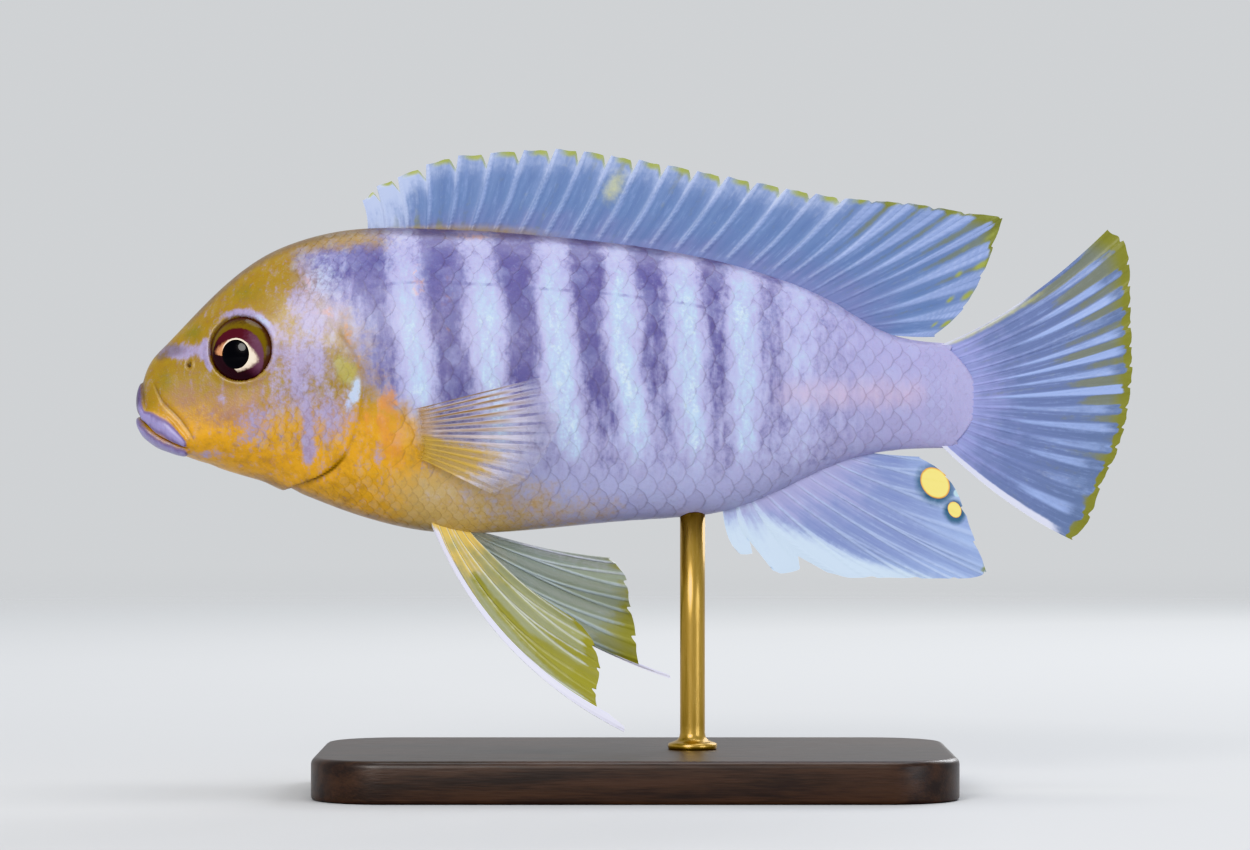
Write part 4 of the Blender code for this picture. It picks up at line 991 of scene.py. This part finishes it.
finDefaults = {
    "perGap": 14, "rows": 56,  # points from one ray to the next, and from root to edge
    "softFrom": 0.0, "fork": 0.2, "rayWidth": 0.085, "membrane": 0.16, "ridge": 0.34, "flatLead": 0.0,
    "rootThickness": 0.9, "rootReach": 0.16, "pleat": 0.12, "ragged": 0.12,
    "spots": ()}  # spots: field, colour, where the colour starts and where it is full
lookDefaults = {
    "fork": 0.2, "lineWidth": 0.16, "midAt": 0.5, "betweenAmount": 0.3, "oliveBetween": 0.35, "joints": 110.0,
    "clear": 0.0, "tipClear": 0.0, "rayOver": 0.35, "vary": 1.5, "lineFrom": 0.12, "oliveOver": 0.9,
    "gapFrom": 0.1, "rootClear": 0.0}
acrossBody = np.array([0.0, 1.0, 0.0])

dorsal = {
    **finDefaults, "rays": 27, "softFrom": 17.0, "sunk": 0.8, "bow": (0.35, 0.0, -0.2),
    "roots": [(0, 27.2), (5, 39.5), (13, 63.5), (17, 74.6), (22, 82.7), (26, 87.9)],
    "tips": [(0, 26.7, 23.8), (1, 28.4, 25.5), (2, 30.9, 26.7), (4, 38.2, 29.2), (7, 49.9, 30.0),
             (10, 59.9, 28.7), (14, 74.1, 26.0), (17, 84.7, 24.1), (19, 92.2, 23.5), (21, 99.6, 22.3),
             (22, 103.5, 21.7), (23, 102.4, 18.2), (24, 101.0, 14.6), (25, 98.8, 10.8), (26, 95.4, 7.45)],
    "notch": [(0, 1.5), (9, 1.4), (16, 0.9), (18, 0.35), (26, 0.3)],
    "looks": {**lookDefaults, "root": tint(110, 118, 166), "middle": tint(98, 122, 168),
              "outer": tint(108, 129, 174), "between": tint(84, 108, 156), "ray": tint(137, 155, 200),
              "olive": tint(112, 116, 50), "pale": tint(176, 188, 220), "lineWidth": 0.13,
              "oliveBetween": 0.5, "gapFrom": 0.2, "betweenAmount": 0.6, "rayOver": 0.6, "oliveOver": 0.62,
              "lineFrom": 0.45, "fork": 0.14},
    "spots": [("blotch", tint(190, 192, 150), 0.2, 1.5), ("flecks", tint(132, 112, 80), 0.55, 1.5),
              ("hem", tint(146, 154, 76), 0.15, 1.2)],
}


def dorsalFields(place, flow, point):
    x, h = point[..., 0], point[..., 2]
    soft = ramp(16.6, 18.4, place)
    part = place - np.floor(place)
    hem = 1.15 * (1 - 0.6 * soft) * ramp(0.9, 0.985, flow) * bell(part - 0.58, 0.44) * ramp(0.0, 0.6, place)
    rear = soft * (0.4 * ramp(0.35, 0.8, flow) + 0.4 * ramp(0.95, 0.99, flow))
    corner = 0.7 * bell(np.hypot(x - 103.0, h - 20.6), 2.6)
    spotted = 1.3 * ramp(22.2, 22.8, place) * (bell(flow - 0.95, 0.06) * bell(part - 0.5, 0.18)
                                         + 0.8 * bell(flow - 0.78, 0.035) * bell(part - 0.45, 0.15))
    frontFoot = 0.5 * ramp(5.5, 2.5, place) * ramp(0.6, 0.0, flow)
    flecks = 1.35 * ramp(13.0, 5.0, place) * ramp(0.34, 0.04, flow)
    blotch = bell(x - 0.35 * (h - 25.4) - 56.9, 1.5) * bell(h - 25.4, 2.4)
    return {"soft": soft, "olive": rear * ramp(25.0, 23.0, place) + corner + frontFoot,
            "streak": 0.45 + 0.45 * soft * ramp(0.15, 0.5, flow), "width": 0.14 + 0.06 * soft,
            "pale": (1 - soft) * (0.5 * ramp(0.6, 0.93, flow) + 0.8 * ramp(3.6, 1.0, place)),
            "blotch": blotch, "flecks": flecks, "hem": np.maximum(hem, spotted)}


def buildDorsal():
    place, _ = raysOf(dorsal)
    rootX = along(dorsal["roots"], place)[:, 0]
    root = upright(rootX, bodyRow(rootX)[0] - dorsal["sunk"])
    tip = upright(*along(dorsal["tips"], place).T)
    bow = np.tile(dorsal["bow"], (len(place), 1))
    buildFin("dorsalFin", dorsal, root, tip, bow, acrossBody, finPaint("dorsalFin", dorsal), dorsalFields,
             "dorsal_fin")


anal = {
    **finDefaults, "rays": 11, "softFrom": 2.0, "perGap": 22, "rayWidth": 0.06, "ridge": 0.24, "sunk": 0.8,
    "roots": [(0, 69.9), (10, 85.9)],
    # the first two spines each carry a lappet, with a notch before the next
    "tips": [(0, 71.4, -18.0), (0.4, 72.2, -18.7), (0.82, 73.5, -18.5), (0.95, 73.1, -16.9), (1, 76.0, -20.6),
             (1.4, 77.2, -21.0), (1.82, 79.2, -20.3), (1.95, 79.0, -18.9), (2, 82.6, -20.9),
             (2.5, 85.6, -21.5), (3, 88.6, -21.5), (5, 98.3, -21.6), (6, 101.6, -20.8), (7, 100.2, -17.0),
             (8, 98.8, -12.9), (9, 96.8, -9.2), (10, 93.6, -6.95)],
    "notch": [(0, 0.0), (1.9, 0.0), (2.2, 0.7), (3, 0.4), (10, 0.25)],
    # egg spots: x, h, half length, half width, slant; each has a halo, wider and set a little aside
    "eggs": [(95.4, -10.1, 2.0, 1.55, -0.9), (97.75, -13.3, 1.0, 0.75, -1.1)], "haloWider": 0.55,
    "haloAside": 0.25, "dot": (98.1, -11.3, 0.5),
    "looks": {**lookDefaults, "root": tint(170, 168, 208), "middle": tint(132, 146, 190),
              "outer": tint(150, 170, 210), "between": tint(112, 128, 182), "ray": tint(172, 188, 222),
              "olive": tint(128, 138, 60), "pale": tint(206, 224, 243), "lineWidth": 0.12,
              "betweenAmount": 0.5},
    "spots": [("halo", tint(58, 96, 124), 0.38, 0.66), ("dot", tint(176, 204, 216), 0.45, 0.6),
              ("egg", tint(214, 150, 60), 0.48, 0.5), ("egg", tint(253, 236, 132), 0.5, 0.56)],
}


def analFields(place, flow, point):
    x, h = point[..., 0], point[..., 2]
    egg, halo, wider = 0 * x, 0 * x, anal["haloWider"]
    for eggX, eggH, a, b, slant in anal["eggs"]:  # 1 at the middle, 0.5 at the edge
        dx, dh = x - eggX, h - eggH
        lengthwise = dx * math.cos(slant) + dh * math.sin(slant)
        sideways = dh * math.cos(slant) - dx * math.sin(slant)
        egg = np.maximum(egg, 1 - 0.5 * np.hypot(lengthwise / a, sideways / b))
        lengthwise = lengthwise + anal["haloAside"] * math.sin(slant)
        sideways = sideways + anal["haloAside"] * math.cos(slant)
        halo = np.maximum(halo, 1 - 0.5 * np.hypot(lengthwise / (a + wider), sideways / (b + wider)))
    dotX, dotH, dotRadius = anal["dot"]
    front = (0.4 + 0.6 * ramp(0.1, 0.6, flow)) * ramp(3.2, 1.5, place - 1.3 * flow)
    return {"soft": ramp(1.5, 2.5, place), "streak": 0.5, "egg": egg, "halo": halo,
            "pale": front + 0.5 * ramp(0.7, 1.0, flow) * ramp(6.5, 3.5, place),
            "olive": 0.9 * bell(np.hypot(x - 101.4, h + 20.4), 0.9),
            "dot": 1 - 0.5 * np.hypot(x - dotX, h - dotH) / dotRadius}


def buildAnal():
    place, _ = raysOf(anal)
    rootX = along(anal["roots"], place)[:, 0]
    root = upright(rootX, bodyRow(rootX)[1] + anal["sunk"])
    tip = upright(*along(anal["tips"], place).T)
    last = ramp(8.5, 10.0, place)
    bow = upright(-0.3 * (1 - last), -0.5 * (1 - last) - 0.1 * last)
    buildFin("analFin", anal, root, tip, bow, -acrossBody, finPaint("analFin", anal), analFields,
             "anal_fin")


caudal = {
    **finDefaults, "rays": 16, "perGap": 18, "rows": 64, "fork": 0.22,
    "rootThickness": 0.8, "rootReach": 0.22, "rootTop": 6.3, "rootBottom": -5.7, "sunk": 1.2,
    "tips": [(0, 116.1, 20.3), (1, 118.0, 19.0), (2, 118.8, 16.2), (4, 118.9, 11.0), (7, 119.1, 3.8),
             (9, 118.6, -1.2), (11, 117.4, -6.0), (13, 115.2, -10.8), (14, 114.1, -14.2), (15, 112.0, -17.0)],
    "notch": [(0, 0.35), (15, 0.35)],
    "looks": {**lookDefaults, "root": tint(146, 150, 202), "middle": tint(106, 120, 166),
              "outer": tint(96, 114, 152), "between": tint(88, 104, 146), "ray": tint(150, 170, 218),
              "olive": tint(122, 122, 40), "pale": tint(212, 214, 232), "fork": 0.1, "lineWidth": 0.21,
              "betweenAmount": 0.5, "oliveBetween": 0.5, "midAt": 0.42, "rayOver": 0.6, "vary": 0.7,
              "lineFrom": 0.4, "oliveOver": 0.58},
    "spots": [("cream", tint(180, 180, 128), 0.25, 1.4)],
    # each ray's bright streak: where it starts and ends on its way out, and its strength
    "streaks": [(0.6, 0.7, 0.0), (0.58, 0.88, 0.5), (0.5, 0.85, 0.85), (0.42, 0.9, 1.15), (0.6, 0.88, 0.35),
                (0.3, 0.93, 0.75), (0.2, 0.95, 1.1), (0.25, 0.9, 0.8), (0.12, 0.97, 1.2), (0.25, 0.88, 0.45),
                (0.3, 0.92, 0.75), (0.5, 0.9, 0.4), (0.45, 0.86, 0.65), (0.6, 0.8, 0.25), (0.5, 0.88, 0.8),
                (0.8, 0.9, 0.0)],
    # the olive between neighbouring rays: where it starts and its strength
    "gaps": [(0.45, 0.6), (0.5, 0.9), (0.55, 0.55), (0.6, 0.75), (0.5, 0.5), (0.45, 0.8), (0.6, 0.6),
             (0.55, 0.95), (0.62, 1.1), (0.72, 0.6), (0.8, 0.3), (0.75, 0.45), (0.85, 0.2), (0.8, 0.35),
             (0.85, 0.3), (0.85, 0.3)],
}


def caudalFields(place, flow, point):
    start, stop, strength = np.array(caudal["streaks"]).T[:, np.round(place).astype(int)]
    gapStart, gapStrength = np.array(caudal["gaps"]).T[:, np.floor(place).astype(int)]
    # olive in the gaps, along the edge, in the upper corner, beside the first rays and in the lower corner
    olive = (0.72 * gapStrength * ramp(gapStart, gapStart + 0.25, flow) * ramp(0.99, 0.93, flow)
             + 1.1 * ramp(0.94, 0.98, flow) + 0.9 * ramp(3.2, 0.6, place) * ramp(0.76, 0.92, flow)
             + 0.6 * bell(place - 0.45, 0.35) * ramp(0.45, 0.6, flow)
             + 0.8 * ramp(13.0, 14.4, place) * ramp(0.9, 0.96, flow))
    lowerEdge = ramp(14.5 + 0.15 * flow, 14.8 + 0.12 * flow, place) * ramp(0.95, 0.72, flow)
    streak = strength * ramp(start - 0.12, start + 0.16, flow) * ramp(stop + 0.04, stop - 0.06, flow)
    return {"olive": olive, "streak": streak,
            "pale": 1.3 * lowerEdge + 1.2 * bell(place, 0.3) * ramp(0.6, 0.4, flow),
            "cream": 0.9 * bell(place - 0.3, 0.28) * ramp(0.0, 0.1, flow) * ramp(0.75, 0.5, flow)}


def buildCaudal():
    place, share = raysOf(caudal)
    height = caudal["rootTop"] + (caudal["rootBottom"] - caudal["rootTop"]) * share
    rootX = body["length"] - body["tailRound"] * (height / body["tailHalf"]) ** 2 - caudal["sunk"]
    root = upright(rootX, height * 0.985)
    tip = upright(*along(caudal["tips"], place).T)
    level = 1 - 2 * share
    bow = upright(0 * level, -np.where(level > 0, 1.6, 1.0) * np.abs(level))
    buildFin("caudalFin", caudal, root, tip, bow, acrossBody, finPaint("caudalFin", caudal), caudalFields,
             "caudal_fin")


pectoral = {
    **finDefaults, "rays": 14, "perGap": 12, "rows": 44, "membrane": 0.13, "ridge": 0.24,
    "rootThickness": 0.8, "rootReach": 0.12, "pleat": 0.1, "rayWidth": 0.12,
    "first": (33.4, -1.4), "last": (34.2, -7.0),  # x and h of the first and last ray's root
    "tips": [(0, 48.2, 8.4, 2.4), (2, 50.2, 9.3, 1.2), (5, 50.6, 9.8, -2.2), (8, 49.2, 9.6, -6.0),
             (11, 46.2, 8.6, -9.6), (13, 42.6, 7.0, -11.2)],
    "notch": [(0, 0.3), (13, 0.3)],
    "looks": {**lookDefaults, "root": tint(182, 138, 62), "middle": tint(200, 190, 200), "midAt": 0.3,
              "outer": tint(206, 206, 226), "between": tint(210, 204, 214), "ray": tint(142, 108, 56),
              "olive": tint(188, 156, 70), "pale": tint(214, 210, 226), "lineWidth": 0.26, "fork": 0.1,
              "clear": 0.95, "tipClear": 0.96, "rootClear": 0.9, "oliveBetween": 0.0, "rayOver": 0.0,
              "lineFrom": 0.2},
}


def pectoralFields(place, flow, point):
    streak = 0.9 * ramp(0.95, 0.6, flow + 0.02 * place) * (0.75 + 0.25 * np.sin(place * 7.0))
    return {"streak": streak,
            "olive": 1.1 * ramp(5.5, 9.5, place) * ramp(1.3, 0.25, flow) + 0.5 * ramp(0.25, 0.05, flow)}


def buildPectoral(side, word, material):
    place, share = raysOf(pectoral)
    (x0, h0), (x1, h1) = pectoral["first"], pectoral["last"]
    x, h = x0 + (x1 - x0) * share, h0 + (h1 - h0) * share
    turn = turnAtHeight(x, h)
    skin = plainSkin(x, turn, side)
    root = skin - skinNormal(x, turn, side) * 0.3 - np.array([0.5, 0.0, 0.0])
    tip = along(pectoral["tips"], place)
    tip[:, 1] = side * (abs(skin[:, 1].mean()) + tip[:, 1])
    bow = np.tile([0.0, side, 0.0], (len(place), 1))
    across = np.array([-side, 0.0, 0.0])
    buildFin("pectoralFin" + word, pectoral, root, tip, bow, across, material, pectoralFields,
             "pectoral_fin_" + word.lower())


pelvic = {
    **finDefaults, "rays": 6, "perGap": 26, "rows": 70, "softFrom": 0.5, "fork": 0.24, "rayWidth": 0.06,
    "ridge": 0.4, "flatLead": 1.0, "rootReach": 0.1, "pleat": 0.2,
    "first": (34.9, 2.9), "last": (39.2, 1.0),  # x and y of the first and last ray's root
    "notch": [(0, 0.0), (0.97, 0.1), (1.2, 0.9), (2, 0.6), (3, 0.5), (5, 0.3)],
    "tips": [(0, 58.1, 12.5, -39.2), (0.3, 58.25, 12.4, -38.8), (0.7, 56.3, 11.8, -37.3),
             (1, 54.9, 11.2, -36.6), (2, 54.9, 9.4, -34.4), (3, 55.3, 7.4, -32.0),
             (4, 54.6, 5.4, -29.4), (5, 52.4, 3.6, -26.4)],
    "bow": (-2.3, 0.6, -2.2),
    "looks": {**lookDefaults, "root": tint(230, 198, 104), "middle": tint(160, 162, 118),
              "outer": tint(148, 150, 96), "between": tint(154, 162, 132), "ray": tint(188, 192, 184),
              "olive": tint(140, 136, 42), "pale": tint(228, 228, 246), "lineWidth": 0.1, "clear": 0.2,
              "fork": 0.24, "oliveBetween": 0.2, "midAt": 0.36, "rayOver": 0.15, "lineFrom": 0.02,
              "vary": 1.0},
}
# the far fin's colours are painted paler than the near fin's, painted light over the shade that the body
# casts on it
farPelvic = {
    **pelvic,
    "tips": [(0, 63.8, 10.5, -34.1), (0.3, 63.8, 10.4, -33.8), (0.7, 61.6, 10.1, -32.9),
             (1, 59.9, 9.8, -32.4), (2, 59.6, 8.6, -28.8), (3, 58.9, 7.2, -25.2),
             (4, 58.4, 5.6, -21.9), (5, 56.5, 4.0, -19.2)],
    "bow": (-1.3, 0.6, -2.0),
    "looks": {**pelvic["looks"], "root": tint(214, 210, 182), "middle": tint(166, 178, 168),
              "outer": tint(164, 174, 152), "between": tint(158, 170, 154), "ray": tint(186, 202, 212),
              "olive": tint(164, 162, 78), "clear": 0.4, "oliveOver": 0.6},
}


def pelvicFields(place, flow, point):
    width = 0.8 + 0.4 * ramp(0.1, 0.5, flow) - 0.15 * ramp(0.7, 0.85, flow)
    lead = 1.6 * ramp(width, width - 0.2, place) * ramp(0.0, 0.07, flow)
    stripes = (1.05 * bell(place - 2.05, 0.46) + 0.6 * bell(place - 3.05, 0.16)
               + 0.8 * bell(place - 4.0, 0.35) * ramp(0.8, 0.4, flow)) * ramp(0.14, 0.3, flow)
    return {"streak": 0.7, "pale": lead + 0.5 * bell(place - 2.6, 0.13) * ramp(0.5, 0.2, flow),
            "olive": stripes + 0.5 * ramp(0.6, 0.85, flow) + 0.4 * ramp(0.9, 0.97, flow)}


def farPelvicFields(place, flow, point):
    width = 0.45 + 0.6 * ramp(0.78, 0.92, flow)
    lead = 1.3 * ramp(width, width - 0.15, place)
    return {"streak": 0.6, "pale": lead + 0.42 * ramp(3.3, 4.8, place) * ramp(0.1, 0.5, flow),
            "olive": 0.6 * ramp(0.8, 1.0, flow) + 0.7 * ramp(0.45, 0.95, flow) * ramp(3.8, 1.2, place)}


def buildPelvic(side, word, fin, makeFields):
    place, share = raysOf(fin)
    (x0, y0), (x1, y1) = fin["first"], fin["last"]
    x, y = x0 + (x1 - x0) * share, y0 + (y1 - y0) * share
    turn = math.pi - np.arcsin((y / bodyRow(x)[3]) ** (lowerFullness(x) / 2))
    root = plainSkin(x, turn, side) + (0.0, 0.0, 0.6)
    tip = along(fin["tips"], place) * (1, side, 1)
    bow = np.linspace(1.0, 0.25, len(place))[:, None] * (np.array(fin["bow"]) * (1, side, 1))
    across = np.array([0.25, side, 0.0]) / math.hypot(0.25, 1.0)
    name = "pelvicFin" + word
    buildFin(name, fin, root, tip, bow, across, finPaint(name, fin), makeFields,
             "pelvic_fin_" + word.lower())


stand = {
    "wood": tint(58, 38, 26), "grain": tint(30, 18, 12),
    "brass": tint(196, 164, 96), "dullBrass": tint(170, 138, 74),
    "length": 76.0, "width": 46.0, "corner": 9.0, "cornerSteps": 20, "rodX": 66.3, "rodSteps": 64,
    "edge": [  # inset from the outline, height over the floor
        (0.5, 0.0), (0.2, 0.06), (0.05, 0.22), (0.0, 0.5), (0.0, 4.2), (0.06, 4.5), (0.23, 4.77), (0.5, 4.94),
        (0.8, 5.0), (1.1, 5.0)],
    "collar": [  # radius, height over the floor
        (2.6, 5.0), (2.85, 5.05), (2.95, 5.18), (2.95, 5.55), (2.85, 5.7), (2.4, 5.85), (1.9, 6.05),
        (1.6, 6.4), (1.5, 6.9), (1.5, 8.0)],
    "rodRadius": 1.5, "rodRing": 20.0, "rodInside": 0.5,  # the rod ends this far inside the belly
}


def stackedRings(outlines, heights):
    # closed outlines one above another, joined by quads, the first and last filled in
    rows, count = outlines.shape[:2]
    points = np.concatenate([outlines, heights[:, None, None] + np.zeros((rows, count, 1))], axis=-1)
    ends = np.array([np.arange(count)[::-1], (rows - 1) * count + np.arange(count)])
    return points.reshape(-1, 3), [gridQuads(rows, count, True), ends]


def standBase(material):
    # a rectangle with round corners; each ring lies inset from it, corner radius less the inset
    steps = stand["cornerSteps"]
    angle = np.concatenate([np.linspace(q, q + 1, steps) * math.pi / 2 for q in range(4)])
    halfX, halfY = stand["length"] / 2 - stand["corner"], stand["width"] / 2 - stand["corner"]
    centreX = np.repeat([halfX, -halfX, -halfX, halfX], steps)
    centreY = np.repeat([halfY, halfY, -halfY, -halfY], steps)
    inset, height = np.array(stand["edge"]).T
    radius = stand["corner"] - inset[:, None]
    outlines = np.stack([centreX + radius * np.cos(angle), centreY + radius * np.sin(angle)], axis=-1)
    points, faces = stackedRings(outlines, height)
    base = newPiece("standBase", points - (body["noseX"], 0.0, body["axisHeight"]), faces, material)
    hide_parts("stand_base")


def standRod(material):
    # a circle of the profile's radius at each height, from a small collar up into the belly
    angle = np.linspace(0, 2 * math.pi, stand["rodSteps"], endpoint=False)
    belly = float(bodyRow(np.array(stand["rodX"]))[1]) + body["axisHeight"]
    shaft = [(stand["rodRadius"], stand["rodRing"]), (stand["rodRadius"], belly + stand["rodInside"])]
    radius, height = np.array(stand["collar"] + shaft).T
    outlines = radius[:, None, None] * np.stack([np.cos(angle), np.sin(angle)], axis=-1)
    points, faces = stackedRings(outlines, height)
    rod = newPiece("standRod", points + (stand["rodX"], 0.0, -body["axisHeight"]), faces, material)
    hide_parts("stand_rod")


def buildStand():
    wood = Paint("darkWood", Coat_Weight=0.15, Coat_Roughness=0.35)
    spot = wood.coords()
    rings = wood.noise(wood.stretch(spot, (0.05, 0.6, 0.6)), 1.0, 5.0, 0.6)
    pores = wood.noise(wood.stretch(spot, (0.3, 5.0, 5.0)), 1.0, 2.0)
    colour = wood.mix((rings * 3.0 + pores).step(-0.5, 0.6), stand["grain"], stand["wood"])
    wood.finish(colour, pores * 0.2 + 0.42, wood.bump(pores, 0.2, 0.0001))
    brass = Paint("satinBrass", Metallic=1.0)
    spot = brass.coords()
    brushed = brass.noise(brass.stretch(spot, (8.0, 8.0, 0.3)), 1.0, 2.0)
    colour = brass.mix(brushed.step(-0.4, 0.4), stand["brass"], stand["dullBrass"])
    brass.finish(colour, brushed * 0.2 + 0.3, brass.bump(brushed, 0.1, 0.00005))
    standBase(wood.material)
    standRod(brass.material)


studio = {
    # painted shade: the floor is darker near the stand, where the lamps light it most, and paler further out
    "floor": tint(192, 193, 195), "farFloor": tint(224, 225, 227), "fade": (0.1, 1.0),
    "floorRings": (0.05, 3.0, 24), "floorSpokes": 96,  # radius of the first and last ring, how many
    "sky": (0.95, 0.975, 1.0), "skyStrength": 0.7,
    # lights: name, place, aim, size, watts, colour
    "lights": [("front", (-0.25, -0.62, 0.34), (0.0, 0.0, 0.045), 0.3, 3.0, (1.0, 0.98, 0.95)),
               ("top", (0.05, 0.05, 0.55), (0.0, 0.0, 0.04), 0.4, 1.4, (1.0, 1.0, 1.0)),
               ("fill", (0.45, -0.4, 0.12), (0.0, 0.0, 0.045), 0.3, 0.6, (0.92, 0.95, 1.0)),
               ("behind", (0.3, 0.45, 0.3), (0.0, 0.0, 0.05), 0.25, 1.4, (0.95, 0.97, 1.0))],
    "camera": (-0.0012, -0.6, 0.04386), "lens": 144.0, "sensor": 36.0, "tones": "Khronos PBR Neutral",
}


def aimed(place, target):
    return (Vector(target) - Vector(place)).to_track_quat("-Z", "Y").to_euler()


def buildFloor():
    # a round sheet that thins out with its distance r from the stand, so that no horizon shows
    turn = np.linspace(0, 2 * math.pi, studio["floorSpokes"], endpoint=False)
    r = np.geomspace(*studio["floorRings"])[:, None]
    points = np.stack([r * np.cos(turn), r * np.sin(turn), 0 * r * turn], axis=-1).reshape(-1, 3)
    k = np.arange(len(turn))
    centre = np.stack([0 * k, 1 + k, 1 + (k + 1) % len(turn)], axis=-1)
    rings = gridQuads(len(r), len(turn), True, 1)[:, ::-1]
    mesh = bpy.data.meshes.new("paleFloor")
    mesh.from_pydata([[0.0, 0.0, 0.0]] + points.tolist(), [], centre.tolist() + rings.tolist())
    paint = Paint("palePaper", Roughness=0.85)
    spot = paint.coords()
    grain = paint.noise(spot, 0.02, 4.0)
    away = paint.add("ShaderNodeVectorMath", {"operation": "LENGTH"}, {0: spot}, "Value") * millimetre
    near, far = studio["fade"]
    # painted shade near the stand that evens out the lamps' pool of light
    colour = paint.mix((away + grain * 0.02).step(near * 0.5, far * 0.6), studio["floor"], studio["farFloor"])
    paint.finish(colour, alpha=away.step(far, near))
    mesh.materials.append(paint.material)
    mesh.shade_smooth()
    addToScene("paleFloor", mesh)


def buildStudio():
    for name, place, target, size, watts, colour in studio["lights"]:
        lamp = bpy.data.lights.new(name, "AREA")
        lamp.shape, lamp.size, lamp.energy, lamp.color = "DISK", size, watts, colour
        holder = addToScene(name, lamp)
        holder.location, holder.rotation_euler = place, aimed(place, target)
    scene = bpy.context.scene
    scene.world = bpy.data.worlds.new("paleRoom")
    scene.world.use_nodes = True
    sky = scene.world.node_tree.nodes["Background"].inputs
    sky["Color"].default_value, sky["Strength"].default_value = (*studio["sky"], 1.0), studio["skyStrength"]
    view = bpy.data.cameras.new("view")
    view.lens, view.sensor_width, view.clip_start = studio["lens"], studio["sensor"], 0.01
    camera = addToScene("view", view)
    camera.location, camera.rotation_euler = studio["camera"], (math.pi / 2, 0.0, 0.0)
    scene.camera = camera
    scene.view_settings.view_transform = studio["tones"]


buildFloor()
buildStudio()
print("floor, lights and camera placed")
buildSkin()
print("skin made")
buildCoat()
print("scales laid")
eyeMaterial = eyePaint()
for eyeSide, eyeWord in bothSides:
    buildEye(eyeSide, eyeWord, eyeMaterial)
print("eyes made")
buildDorsal()
buildAnal()
buildCaudal()
pectoralMaterial = finPaint("pectoralFin", pectoral)
pelvicPair = ((pelvic, pelvicFields), (farPelvic, farPelvicFields))
for (finSide, finWord), (ownPelvic, ownFields) in zip(bothSides, pelvicPair):
    buildPectoral(finSide, finWord, pectoralMaterial)
    buildPelvic(finSide, finWord, ownPelvic, ownFields)
print("fins made")
buildStand()
print("stand made")
